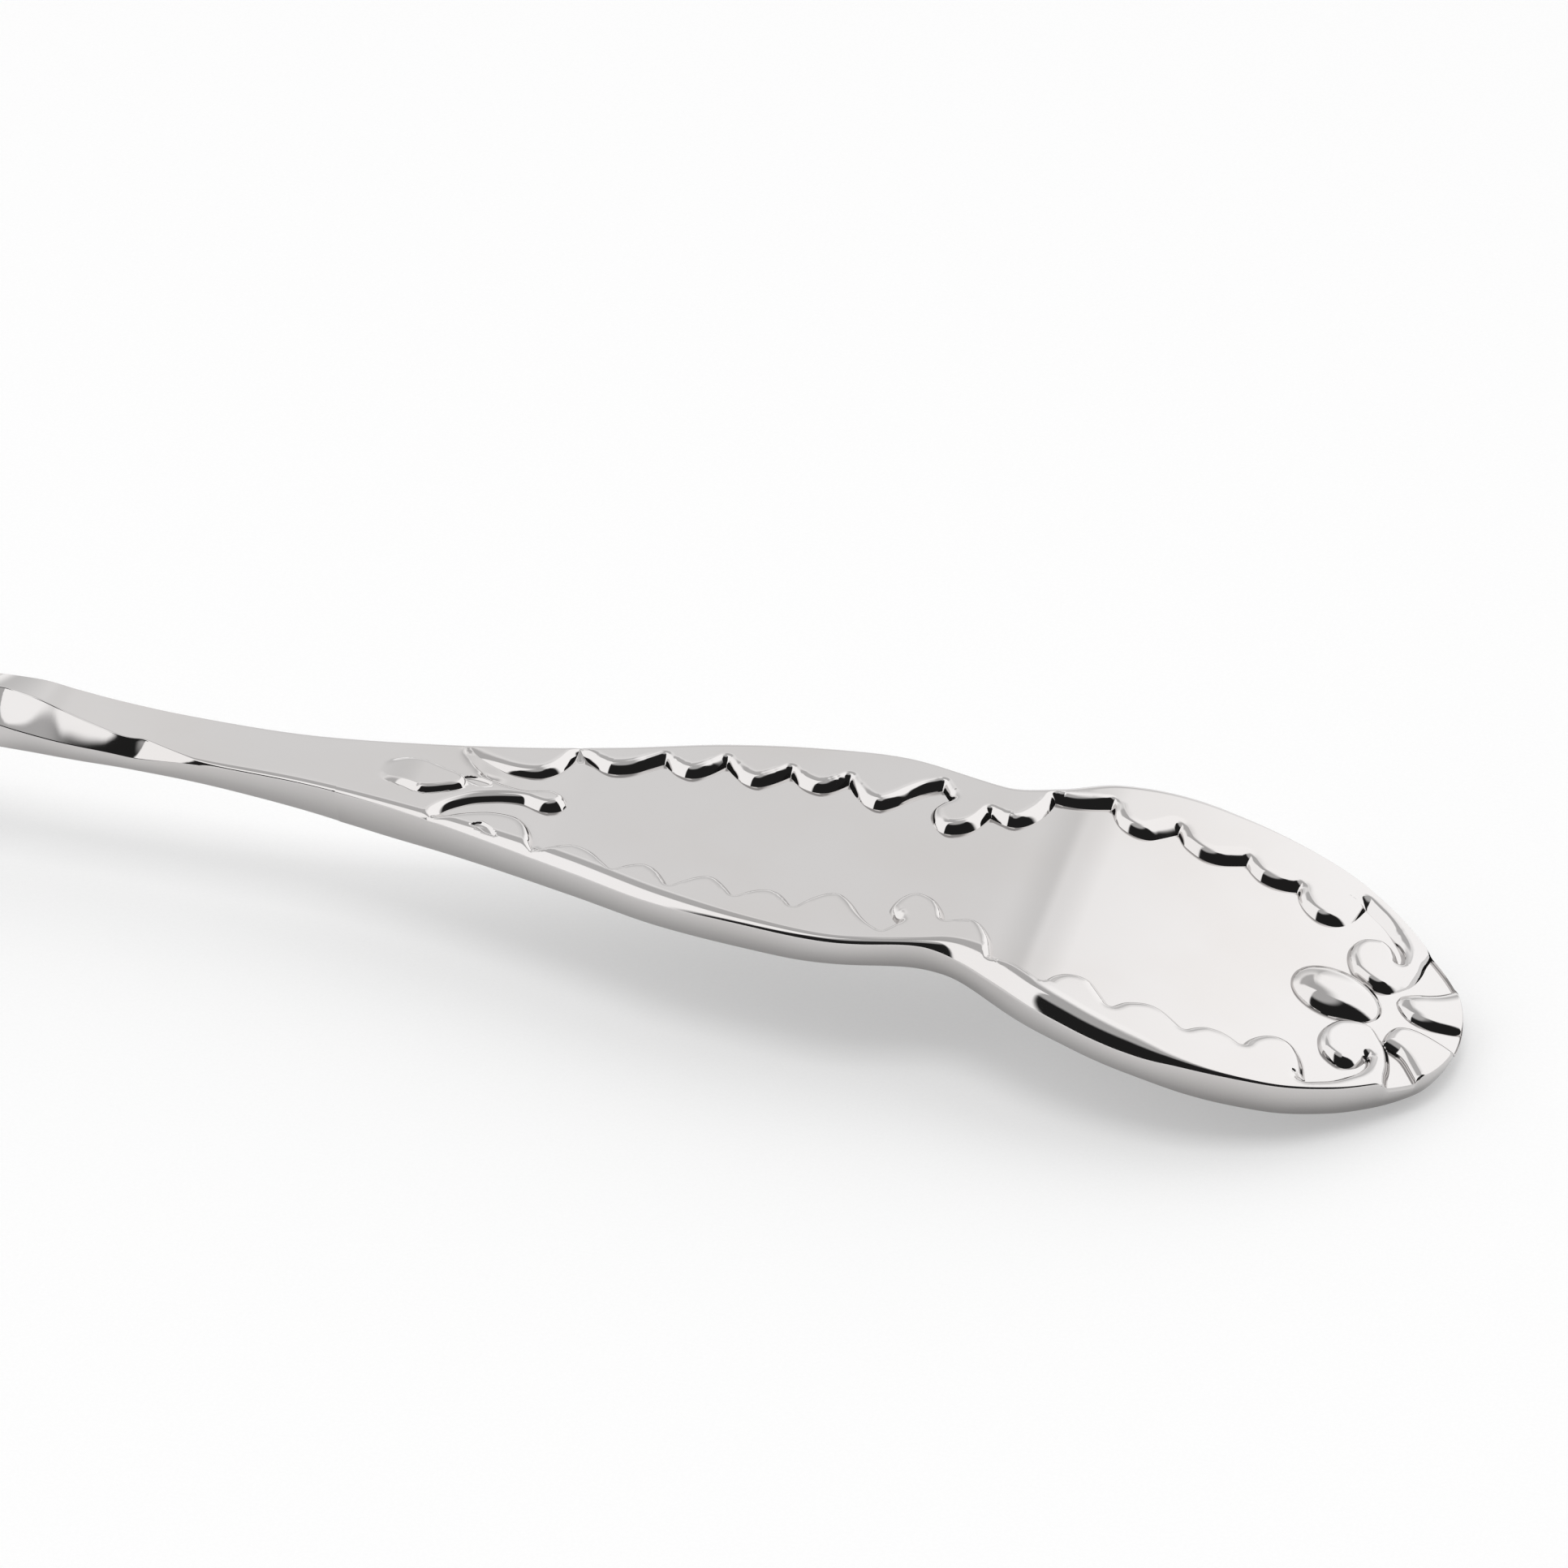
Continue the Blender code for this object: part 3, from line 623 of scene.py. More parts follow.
class Feature:
    """A raised form with a round shoulder: its foot line, its height, and the run and turn of its wall."""

    def __init__(self, points, raised_inside, height, run=None, powers=None, dome=False):
        self.loop = Loop(points, raised_inside)
        self.height = height
        self.run = run
        self.powers = powers
        self.dome = dome

    def longest_run(self):
        return self.run or float(self.loop.runs.max())

    def share(self, places):
        """How much of the full height the wall has reached, on its raised side."""
        distance, _, run = self.loop.nearest(places)
        run = run if self.run is None else self.run
        left = 1 - np.clip(distance / run, 0, 1)
        if self.dome:
            return (1 - left ** 2) ** DOME_ROUNDNESS
        if self.powers:
            return 1 - left ** np.interp(run, *self.powers)
        return 1 - left ** np.maximum(np.interp(run, *RUNS_AND_SLOPES) * run / self.height, LEAST_POWER)

    def rise(self, places):
        """Height over the foot, its gradient, and the distance from the foot line."""
        distance, _ = self.loop.raised(places)
        up = distance > 0
        wall = np.where(up & (distance < self.longest_run()))[0]
        height = np.where(up, 1.0, 0.0)
        height[wall] = self.share(places[wall])
        gradient = np.zeros_like(places)
        gradient[wall] = plan_gradient(self.share, places[wall], SHARE_STEP)
        return height * self.height, gradient * self.height, distance


def ornament():
    """The sunk panel, the islands in it, the husk on the neck and the small hollows."""
    half = join(half_panel())
    panel = Feature(np.concatenate([half, mirrored(half)[:-1]]), False, RELIEF_DEPTH)
    islands = [
        Feature(ellipse(*BEAD), True, BEAD_HEIGHT, BEAD_RUN, dome=True),
        Feature(closed_line(TIP_LEAF), True, RELIEF_DEPTH, PETAL_RUN, dome=True),
        Feature(mirrored(closed_line(NEAR_LEAF)), True, RELIEF_DEPTH, NEAR_PETAL_RUN, dome=True),
    ]
    husk = closed_line(HUSK)
    flat = blend(husk[:, 0], *HUSK_TURN) * blend(-husk[:, 1], *HUSK_NEAR)
    round_run, flat_run = HUSK_RUNS
    husk = np.column_stack([husk, round_run + (flat_run - round_run) * flat])
    dimples = [Feature(closed_line(points), True, DIMPLE_HEIGHT, DIMPLE_RUN, DIMPLE_POWERS)
               for points in DIMPLES]
    return panel, islands, Feature(husk, True, HUSK_HEIGHT, powers=HUSK_POWERS), dimples


def neck_share(places):
    """Share of the relief's depth that is left towards the neck."""
    start, end, least = NECK_FADE
    share = 1 - (1 - least) * blend(places[:, 0], start, end)
    start, end, least = FAR_FADE
    return share * (1 - (1 - least) * blend(places[:, 0], start, end) * blend(places[:, 1], *FAR_SIDE))


class Top:
    """The handle's upper face as a height over its plan, with gradients."""

    def __init__(self):
        self.panel, self.islands, self.husk, self.dimples = ornament()
        line, _ = outline_line(SEAM_AT + PAST_SEAM)
        self.outline = Loop(line, True)

    def features(self):
        return [self.panel] + self.islands + [self.husk] + self.dimples

    def relief(self, places):
        """Height of the relief, its gradient, and whether a place is on the sunk ground."""
        height, gradient, distance = self.panel.rise(places)
        sunk = distance <= 0
        for island in self.islands:
            rise, tilt, inside = island.rise(places)
            higher = rise > height
            height = np.where(higher, rise, height)
            gradient = np.where(higher[:, None], tilt, gradient)
            sunk &= inside <= 0
        near, away = self.outline.raised(places)
        start, end, least = EDGE_FADE
        tip_start, tip_end, tip_least = TIP_FADE
        least = least + (tip_least - least) * (1 - blend(places[:, 0], tip_start, tip_end))
        reach = least + (1 - least) * blend(near, start, end)
        reach_slope = (1 - least) * slope(lambda gap: blend(gap, start, end), near)
        shallow = neck_share(places)
        sink = height - self.panel.height
        gradient = gradient * (reach * shallow)[:, None] + away * (sink * reach_slope * shallow)[:, None]
        gradient += plan_gradient(neck_share, places, SLOPE_STEP) * (sink * reach)[:, None]
        rise, tilt, _ = self.husk.rise(places)
        fade = 1 - blend(places[:, 0], *HUSK_FADE)
        height = sink * reach * shallow + rise * fade
        gradient = gradient + tilt * fade[:, None]
        gradient[:, 0] -= rise * slope(lambda place: blend(place, *HUSK_FADE), places[:, 0])
        for dimple in self.dimples:
            rise, tilt, _ = dimple.rise(places)
            height = height + rise
            gradient = gradient + tilt
        return height, gradient, sunk

    def shoulder(self, places):
        """Drop of the rolled edge below the top face, and its gradient."""
        distance, away = self.outline.raised(places)
        _, foot, _ = self.outline.nearest(places)
        (_, roll), (_, shoulder) = edge_arcs(foot[:, 0], foot[:, 1])[:2]
        start, _ = edge_point(foot[:, 0], foot[:, 1], SHOULDER_END)
        along = distance - start
        least = math.sin(ROLL_END)
        most = math.sin(SHOULDER_END)
        middle = shoulder * (most - least)
        steep = np.clip(most - along / shoulder, least, most)
        gentle = np.clip(least - (along - middle) / roll, 0, least)
        lean = np.where(along < middle, steep, gentle)
        drop = roll * (1 - np.sqrt(1 - gentle ** 2))
        drop = drop + shoulder * (math.cos(ROLL_END) - np.sqrt(1 - steep ** 2))
        return -drop, away * (lean / np.sqrt(1 - lean ** 2))[:, None]

    def surface(self, places):
        """Heights and gradients of the finished face, and the gradients of the sunk ground alone."""
        drop, ground = self.shoulder(places)
        ground[:, 0] += slope(top_height, places[:, 0])
        relief, tilt, _ = self.relief(places)
        return top_height(places[:, 0]) + drop + relief, ground + tilt, ground


def thin_out(places, gap, kept):
    """Places in order, without those nearer than a gap to one already taken."""
    cells = {}
    for a, b in kept.tolist():
        cells.setdefault((a // gap, b // gap), []).append((a, b))
    taken = []
    for a, b in places.tolist():
        i = a // gap
        j = b // gap
        around = [cells.get((i + di, j + dj), ()) for di in (-1, 0, 1) for dj in (-1, 0, 1)]
        if all((a - c) ** 2 + (b - d) ** 2 >= gap * gap for cell in around for c, d in cell):
            cells.setdefault((i, j), []).append((a, b))
            taken.append((a, b))
    return np.array(taken).reshape(-1, 2)


def grid_points(start, end, side, step):
    a = np.arange(start, end, step)
    b = np.arange(-side, side + step / 2, step)
    rows = np.stack(np.meshgrid(a, b, indexing="ij"), axis=-1)
    rows[1::2, :, 1] += step / 2
    return rows.reshape(-1, 2)


def triangulate(points, chains, inside):
    """Delaunay triangles over plan points, with chains of points kept as edges."""
    edges = [pair for chain in chains for pair in zip(chain, chain[1:])]
    found = delaunay_2d_cdt([Vector(p) for p in points], edges, [], 0, MERGE_GAP)
    places = np.array([tuple(v) for v in found[0]])
    faces = np.array([f for f in found[2] if len(f) == 3])
    where = np.full(len(points), -1)
    for new, olds in enumerate(found[3]):
        where[olds] = new
    faces = faces[inside(places[faces].mean(axis=1))]
    area = np.cross(places[faces[:, 1]] - places[faces[:, 0]], places[faces[:, 2]] - places[faces[:, 0]])
    faces = np.where((area > 0)[:, None], faces[:, ::-1], faces)
    return places, faces, where


def closing_chains(round_count, seam_count):
    """Chains along an outline and back across its seam."""
    seam = list(range(round_count, round_count + seam_count))
    return [list(range(round_count)), [round_count - 1] + seam + [0]]


def bar_point(half, corner, angle, share):
    """Edge of the square bar: place across and height from its centre, for an angle from straight up."""
    if angle <= SHOULDER_END:
        turn = angle / SHOULDER_END * math.pi / 2
        return half - corner * (1 - math.sin(turn)), half - corner * (1 - math.cos(turn))
    if angle <= TURN_END:
        return half, (half - corner) * (1 - 2 * share)
    turn = math.pi / 2 + (angle - TURN_END) / (math.pi - TURN_END) * math.pi / 2
    return half - corner * (1 - math.sin(turn)), -half + corner * (1 + math.cos(turn))


class Builder:
    """Collects points and faces with a normal at each face corner, then writes one mesh."""

    def __init__(self):
        self.points = []
        self.count = 0
        self.faces = []
        self.normals = []

    def add_points(self, points):
        first = self.count
        self.points.append(np.asarray(points, dtype=float))
        self.count += len(points)
        return first + np.arange(len(points))

    def add_faces(self, faces, normals):
        self.faces += [list(face) for face in faces]
        self.normals += [list(corner) for corner in normals]

    def add_strip(self, first, second, first_normals, second_normals, closed):
        """Quads between two equally long rows of point numbers."""
        count = len(first)
        for k in range(count if closed else count - 1):
            after = (k + 1) % count
            self.faces.append([first[k], first[after], second[after], second[k]])
            self.normals.append([first_normals[k], first_normals[after],
                                 second_normals[after], second_normals[k]])

    def add_cap(self, row, normal):
        self.add_faces([row], [[normal] * len(row)])

    def write(self, name):
        points = np.concatenate(self.points)
        faces = []
        corners = []
        for face, normal in zip(self.faces, self.normals):
            p = points[face]
            facing = np.cross(p[1] - p[0], p[2] - p[0])
            if facing @ np.mean(normal, axis=0) < 0:
                face = face[::-1]
                normal = normal[::-1]
            faces.append(face)
            corners += normal
        mesh = bpy.data.meshes.new(name)
        mesh.from_pydata([tuple(p) for p in points * MM], [], faces)
        mesh.update()
        mesh.shade_smooth()
        mesh.normals_split_custom_set([tuple(n) for n in corners])
        return add_object(name, mesh)


def add_object(name, data):
    obj = bpy.data.objects.new(name, data)
    bpy.context.scene.collection.objects.link(obj)
    return obj


def to_xyz(distance, side, height):
    return np.stack([TIP_X - distance, side, height], axis=-1)


def flip(rows):
    return rows * np.array([-1.0, 1.0, 1.0])


def upright(gradient):
    """Normals of a height over the plan, from its gradient."""
    return flip(unit(np.column_stack([-gradient, np.ones(len(gradient))])))


def ring_normals(rings):
    """Normals of a grid of closed rings, pointing away from the middle of each ring."""
    along = np.gradient(rings, axis=0)
    round_it = np.roll(rings, -1, axis=1) - np.roll(rings, 1, axis=1)
    normals = unit(np.cross(along, round_it))
    outward = rings - rings.mean(axis=1, keepdims=True)
    if np.sum(normals * outward) < 0:
        normals = -normals
    return normals


def tang_turn(distance):
    """How far the tang has twisted: a short run-in, then the rate of the stem."""
    past = distance - TWIST_START_AT
    ramp = min(max(past, 0.0), TWIST_RAMP)
    return -TWIST_RATE * (ramp * ramp / (2 * TWIST_RAMP) + max(past - TWIST_RAMP, 0.0))


def handle_ring(distance, angles, flat_top, flat_bottom):
    """The closed section of the handle behind the seam, which turns from blade to twisted bar."""
    square = float(blend(distance, SQUARE_FROM, HANDLE_LENGTH))
    width = float(half_width(distance))
    rise = float(smooth_through(TANG_RISE, distance))
    facet = float(smooth_through(TANG_FACET, distance))
    scoop = max(float(smooth_through(TANG_SCOOPS, distance)), 0.0)
    top = float(top_height(distance)) + rise
    wall = [a for a in angles if SHOULDER_END < a <= TURN_END]

    def edge(angle, side):
        inside, drop = edge_point(distance, side * width, angle, facet - rise)
        past = past_shoulder(angle)
        inside = inside + (scoop * (1 - past) if side < 0 else 0.0)
        share = (wall.index(angle) + 1) / len(wall) if angle in wall else 0.0
        across, high = bar_point(BAR_SIDE / 2, BAR_CORNER, angle, share)
        blade = np.array([width - float(inside), top - float(drop) - rise * past])
        bar = np.array([across, STEM_HEIGHT + high])
        return (blade * (1 - square) + bar * square) * (side, 1)

    far = [edge(a, 1) for a in angles]
    near = [edge(a, -1) for a in angles]
    top_row = [near[0] + (far[0] - near[0]) * f for f in flat_top]
    bottom_row = [far[-1] + (near[-1] - far[-1]) * f for f in flat_bottom]
    lead = len([a for a in angles if a <= SHOULDER_END])
    ring = np.array(near[:lead][::-1] + top_row + far + bottom_row + near[lead:][::-1])
    middle = top - (float(thickness(distance)) + rise) / 2
    centre = middle * (1 - square) + STEM_HEIGHT * square
    y, z = turned(ring[:, 0], ring[:, 1] - centre, tang_turn(distance))
    return to_xyz(np.full(len(ring), distance), y, centre + z)


def spread(start, end, shares):
    return [start + (end - start) * share for share in shares]


def build_handle():
    top = Top()
    line, inward = outline_line(SEAM_AT)
    lead = [SHOULDER_END * k / SHOULDER_STEPS for k in range(SHOULDER_STEPS + 1)]
    wall = spread(SHOULDER_END, TURN_END, TURN_SHARES) + spread(TURN_END, WALL_END, WALL_SHARES)
    under = spread(WALL_END, math.pi, LOWER_SHARES)

    def ring_at(angle):
        inside, drop = edge_point(line[:, 0], line[:, 1], angle)
        return line + inward * inside[:, None], drop

    # Plan points of the upper face: its rim, the seam, shoulder rings, ornament contours, a grid
    rim, _ = ring_at(SHOULDER_END)
    seam_width = float(half_width(SEAM_AT))
    near_side = [float(edge_point(SEAM_AT, -seam_width, a)[0]) - seam_width for a in lead]
    far_side = [seam_width - float(edge_point(SEAM_AT, seam_width, a)[0]) for a in lead]
    flat = np.linspace(near_side[0], far_side[0], FLAT_TOP_STEPS + 1)
    seam = np.array([(SEAM_AT, s) for s in near_side[::-1][1:-1] + list(flat) + far_side[1:-1]])
    rim_loop = Loop(np.concatenate([rim, seam]), True)

    def within(places, margin):
        gap, _ = rim_loop.raised(places)
        return gap > margin

    chains = closing_chains(len(rim), len(seam))
    points = [rim, seam]
    total = len(rim) + len(seam)
    feet = []
    for feature in top.features():
        loop = feature.loop
        good = within(loop.points, ORNAMENT_MARGIN)
        numbers = np.full(len(good), -1)
        numbers[good] = total + np.arange(good.sum())
        points.append(loop.points[good])
        feet.append((numbers[good], loop.points[good] + loop.normals[good] * FOOT_OFFSET))
        total += int(good.sum())
        pairs = zip(numbers.tolist(), np.roll(numbers, -1).tolist())
        chains += [pair for pair in pairs if min(pair) >= 0]
    kept = np.concatenate(points)
    extra = []
    for feature in top.features():
        shares = (np.arange(1, WALL_STEPS + 1) / WALL_STEPS) ** WALL_BUNCHING
        places = feature.loop.contours(feature.longest_run() * shares)
        extra.append(places[within(places, ORNAMENT_MARGIN)])
    for angle in lead[:-1]:
        places = ring_at(angle)[0][1:-1]
        extra.append(places[(places[:, 0] < SEAM_AT - SEAM_MARGIN) & within(places, SHOULDER_MARGIN)])
    kept = np.concatenate([kept, thin_out(np.concatenate(extra), FINE_GAP, kept)])
    for grid in GRIDS:
        places = grid_points(*grid)
        places = places[within(places, GRID_MARGIN)]
        kept = np.concatenate([kept, thin_out(places, grid[-1] * GRID_GAP, kept)])
    places, faces, where = triangulate(kept, chains, rim_loop.holds)

    # Upper face, with a crease where a wall meets the sunk ground
    height, gradient, ground = top.surface(places)
    normal = upright(gradient)
    floor_normal = upright(ground)
    wall_normal = normal.copy()
    foot = np.zeros(len(places), dtype=bool)
    for numbers, beside in feet:
        spots = where[numbers]
        wall_normal[spots] = upright(top.surface(beside)[1])
        foot[spots] = True
    _, _, sunk = top.relief(places[faces].mean(axis=1))
    crease = np.where(sunk[:, None, None], floor_normal[faces], wall_normal[faces])
    builder = Builder()
    numbers = builder.add_points(to_xyz(places[:, 0], places[:, 1], height))
    builder.add_faces(numbers[faces], np.where(foot[faces][..., None], crease, normal[faces]))

    # Edge rings from the rim down to the underside
    rim_relief, _, _ = top.relief(rim)
    row = numbers[where[:len(rim)]]
    row_normal = normal[where[:len(rim)]]
    side_rows = []
    level = np.zeros(len(line))
    upward = unit(np.column_stack([-slope(top_height, line[:, 0]), level, np.ones(len(line))]))
    outward = np.column_stack([-inward, level])
    for angle in wall + under:
        plan, drop = ring_at(angle)
        fade = 1 - float(blend(angle, SHOULDER_END, WALL_END))
        heights = top_height(plan[:, 0]) - drop + rim_relief * fade
        next_row = builder.add_points(to_xyz(plan[:, 0], plan[:, 1], heights))
        next_normal = flip(unit(outward * math.sin(angle) + upward * math.cos(angle)))
        builder.add_strip(row, next_row, row_normal, next_normal, False)
        side_rows.append(next_row)
        row = next_row
        row_normal = next_normal

    # Underside
    bottom, _ = ring_at(math.pi)
    low_sides = np.linspace(bottom[-1, 1], bottom[0, 1], FLAT_BOTTOM_STEPS + 1)[1:-1]
    low_seam = np.array([(SEAM_AT, s) for s in low_sides])
    low_loop = Loop(np.concatenate([bottom, low_seam]), True)
    inner = grid_points(0.0, SEAM_AT, PLAN_SIDE, LOW_GRID_STEP)
    gap, _ = low_loop.raised(inner)
    low_points = np.concatenate([bottom, low_seam, inner[gap > LOW_GRID_STEP / 3]])
    low_chains = closing_chains(len(bottom), len(low_seam))
    low_places, low_faces, low_where = triangulate(low_points, low_chains, low_loop.holds)
    distance = low_places[:, 0]
    low_numbers = builder.add_points(to_xyz(distance, low_places[:, 1], bottom_height(distance)))
    low_numbers[low_where[:len(bottom)]] = row
    low_gradient = np.column_stack([slope(bottom_height, distance), np.zeros(len(distance))])
    builder.add_faces(low_numbers[low_faces], -upright(low_gradient)[low_faces])

    # Neck and tang behind the seam
    angles = lead + wall + under
    flat_top = np.linspace(0, 1, FLAT_TOP_STEPS + 1)[1:-1]
    flat_bottom = np.linspace(0, 1, FLAT_BOTTOM_STEPS + 1)[1:-1]
    stations = np.linspace(SEAM_AT, HANDLE_LENGTH, TANG_STEPS + 1)
    rings = np.array([handle_ring(u, angles, flat_top, flat_bottom) for u in stations])
    normals = ring_normals(rings)
    seam_row = numbers[where[len(rim):len(rim) + len(seam)]]
    low_row = low_numbers[low_where[len(bottom):len(bottom) + len(low_seam)]]
    row = [numbers[where[len(rim) - 1]], *seam_row, numbers[where[0]]]
    row += [r[0] for r in side_rows] + list(low_row[::-1]) + [r[-1] for r in side_rows][::-1]
    for k in range(1, len(stations)):
        next_row = builder.add_points(rings[k])
        builder.add_strip(row, next_row, normals[k - 1], normals[k], True)
        row = next_row
    builder.add_cap(row, (-1.0, 0.0, 0.0))
    return builder.write("handle_dressed")


def bar_ring(x, angle, swell=1.0):
    """A section of the twisted bar, with round corners."""
    half = BAR_SIDE / 2
    flat = half - BAR_CORNER
    quarter = []
    for k in range(BAR_CORNER_STEPS + 1):
        turn = math.pi / 2 * k / BAR_CORNER_STEPS
        quarter.append((flat + BAR_CORNER * math.cos(turn), flat + BAR_CORNER * math.sin(turn)))
    quarter += [(flat * (1 - 2 * k / BAR_FLAT_STEPS), half) for k in range(1, BAR_FLAT_STEPS)]
    ring = np.array([turned(y, z, side * math.pi / 2) for side in range(4) for y, z in quarter]) * swell
    y, z = turned(ring[:, 0], ring[:, 1], angle)
    return np.stack([np.full(len(ring), x), y, STEM_HEIGHT + z], axis=1)


def loft(name, rings):
    """A closed solid through rings, with flat ends."""
    rings = np.array(rings)
    normals = ring_normals(rings)
    builder = Builder()
    rows = [builder.add_points(ring) for ring in rings]
    for k in range(len(rows) - 1):
        builder.add_strip(rows[k], rows[k + 1], normals[k], normals[k + 1], True)
    end = unit(rings[0].mean(axis=0) - rings[-1].mean(axis=0))
    builder.add_cap(rows[0], end)
    builder.add_cap(rows[-1], -end)
    return builder.write(name)


def stem_angle(x):
    return -RUN_IN_ANGLE - TWIST_RATE * (STEM_END_X - x)


def build_stem():
    places = np.linspace(STEM_END_X, STEM_START_X, int(STEM_LENGTH / STEM_STEP) + 1)
    return loft("stem_dressed", [bar_ring(x, stem_angle(x)) for x in places])


def build_shim(name, start_x, angle):
    """The thin seam of filler, which stands slightly proud between the two pieces that it joins."""
    places = np.linspace(start_x, start_x + SHIM_THICKNESS, SHIM_STEPS + 1)
    swell = [1 + SHIM_BULGE * math.sin(math.pi * k / SHIM_STEPS) for k in range(SHIM_STEPS + 1)]
    return loft(name, [bar_ring(x, angle, s) for x, s in zip(places, swell)])


def egg(name, half_length, half_across, depth):
    """A full egg on the rim plane of the bowl, flat at its lowest point."""
    mesh = bpy.data.meshes.new(name)
    bm = bmesh.new()
    bmesh.ops.create_uvsphere(bm, u_segments=BOWL_SEGMENTS, v_segments=BOWL_RINGS, radius=1.0)
    flat = -math.cos(BOWL_FLAT)
    for vert in bm.verts:
        x, y, z = vert.co
        vert.co.x = (BOWL_NOSE_X + BOWL_LENGTH / 2 + x * half_length) * MM
        vert.co.y = y * half_across * (1 - BOWL_EGG * x) * MM
        vert.co.z = (BOWL_RIM_HEIGHT + max(z, flat) / -flat * depth) * MM
    bm.to_mesh(mesh)
    bm.free()
    return add_object(name, mesh)


def neck_ring(t):
    """Sections of the neck from the bar's square, t = 0, to its wide root in the bowl, t = 1."""
    ease = t * t * (3 - 2 * t)
    reach = BOWL_NECK_LENGTH + BOWL_NECK_OVERLAP
    left = max(TWIST_RUN_IN - reach * t, 0.0)
    angle = TWIST_RATE / TWIST_RUN_IN * left ** 2 / 2
    ring = bar_ring(BOWL_FACE_X - reach * t, 0.0)
    root_centre = BOWL_RIM_HEIGHT - BOWL_NECK_THICKNESS / 2
    centre = STEM_HEIGHT + (root_centre - STEM_HEIGHT) * ease
    y = ring[:, 1] * (1 + (BOWL_NECK_WIDTH / BAR_SIDE - 1) * ease)
    z = (ring[:, 2] - STEM_HEIGHT) * (1 + (BOWL_NECK_THICKNESS / BAR_SIDE - 1) * ease)
    y, z = turned(y, z, angle)
    return np.stack([ring[:, 0], y, centre + z], axis=1)


def combine(target, tool, operation):
    modifier = target.modifiers.new(operation.lower(), "BOOLEAN")
    modifier.operation = operation
    modifier.object = tool
    modifier.solver = "EXACT"


def build_bowl():
    outer = egg("bowl_dressed", BOWL_LENGTH / 2, BOWL_WIDTH / 2, BOWL_RIM_HEIGHT)
    inner = egg("bowl_inner", BOWL_LENGTH / 2 - BOWL_SHEET, BOWL_WIDTH / 2 - BOWL_SHEET,
                BOWL_RIM_HEIGHT - BOWL_SHEET)
    neck = loft("bowl_neck", [neck_ring(k / BOWL_NECK_STEPS) for k in range(BOWL_NECK_STEPS + 1)])
    bm = bmesh.new()
    bm.from_mesh(outer.data)
    everything = bm.verts[:] + bm.edges[:] + bm.faces[:]
    cut = bmesh.ops.bisect_plane(bm, geom=everything, plane_co=(0, 0, BOWL_RIM_HEIGHT * MM),
                                 plane_no=(0, 0, 1), clear_outer=True)
    rim = [item for item in cut["geom_cut"] if isinstance(item, bmesh.types.BMEdge)]
    bmesh.ops.contextual_create(bm, geom=rim)
    bmesh.ops.recalc_face_normals(bm, faces=bm.faces)
    bm.to_mesh(outer.data)
    bm.free()
    combine(outer, neck, "UNION")
    combine(outer, inner, "DIFFERENCE")
    bevel = outer.modifiers.new("rounded_edges", "BEVEL")
    bevel.width = BOWL_EDGE * MM
    bevel.segments = BOWL_EDGE_STEPS
    bevel.limit_method = "ANGLE"
    bevel.angle_limit = BOWL_SHARP
    bevel.use_clamp_overlap = True
    bpy.context.view_layer.update()
    evaluated = outer.evaluated_get(bpy.context.evaluated_depsgraph_get())
    finished = bpy.data.meshes.new_from_object(evaluated)
    outer.modifiers.clear()
    outer.data = finished
    finished.shade_smooth()
    finished.set_sharp_from_angle(angle=BOWL_SHARP)
    for helper in (inner, neck):
        bpy.data.objects.remove(helper)
    return outer


class Nodes:
    """Short ways to make the shader nodes of a material or a world."""

    def __init__(self, owner):
        owner.use_nodes = True
        self.tree = owner.node_tree
        self.tree.nodes.clear()

    def make(self, kind, output=None, inputs=None, **settings):
        """A node with its settings and its inputs, which are values or sockets. Gives one of its outputs."""
        node = self.tree.nodes.new(kind)
        for key, value in settings.items():
            setattr(node, key, value)
        for key, value in (inputs or {}).items():
            if hasattr(value, "is_linked"):
                self.tree.links.new(value, node.inputs[key])
            else:
                node.inputs[key].default_value = value
        return None if output is None else node.outputs[output]

    def math(self, operation, *values, clamp=False):
        return self.make("ShaderNodeMath", 0, dict(enumerate(values)), operation=operation, use_clamp=clamp)

    def ramp(self, value, low, high, start=0.0, end=1.0):
        """A smooth step from start to end as a value goes from low to high."""
        inputs = {"Value": value, "From Min": low, "From Max": high, "To Min": start, "To Max": end}
        return self.make("ShaderNodeMapRange", "Result", inputs, interpolation_type="SMOOTHSTEP")

    def between(self, value, sides):
        """1 between two ramps, 0 outside them."""
        return self.math("MULTIPLY", self.ramp(value, *sides[:2]), self.ramp(value, *sides[2:], 1.0, 0.0))

    def towards(self, level, target, amount):
        change = self.math("SUBTRACT", target, level)
        return self.math("ADD", level, self.math("MULTIPLY", change, amount))

    def noise(self, vector, scale, detail, stretch=(1, 1, 1)):
        place = self.make("ShaderNodeMapping", "Vector", {"Vector": vector, "Scale": stretch})
        return self.make("ShaderNodeTexNoise", "Fac", {"Vector": place, "Scale": scale, "Detail": detail})

    def mix(self, amount, first, second):
        inputs = {"Factor": amount, "A": first, "B": second}
        return self.make("ShaderNodeMix", "Result", inputs, data_type="RGBA")


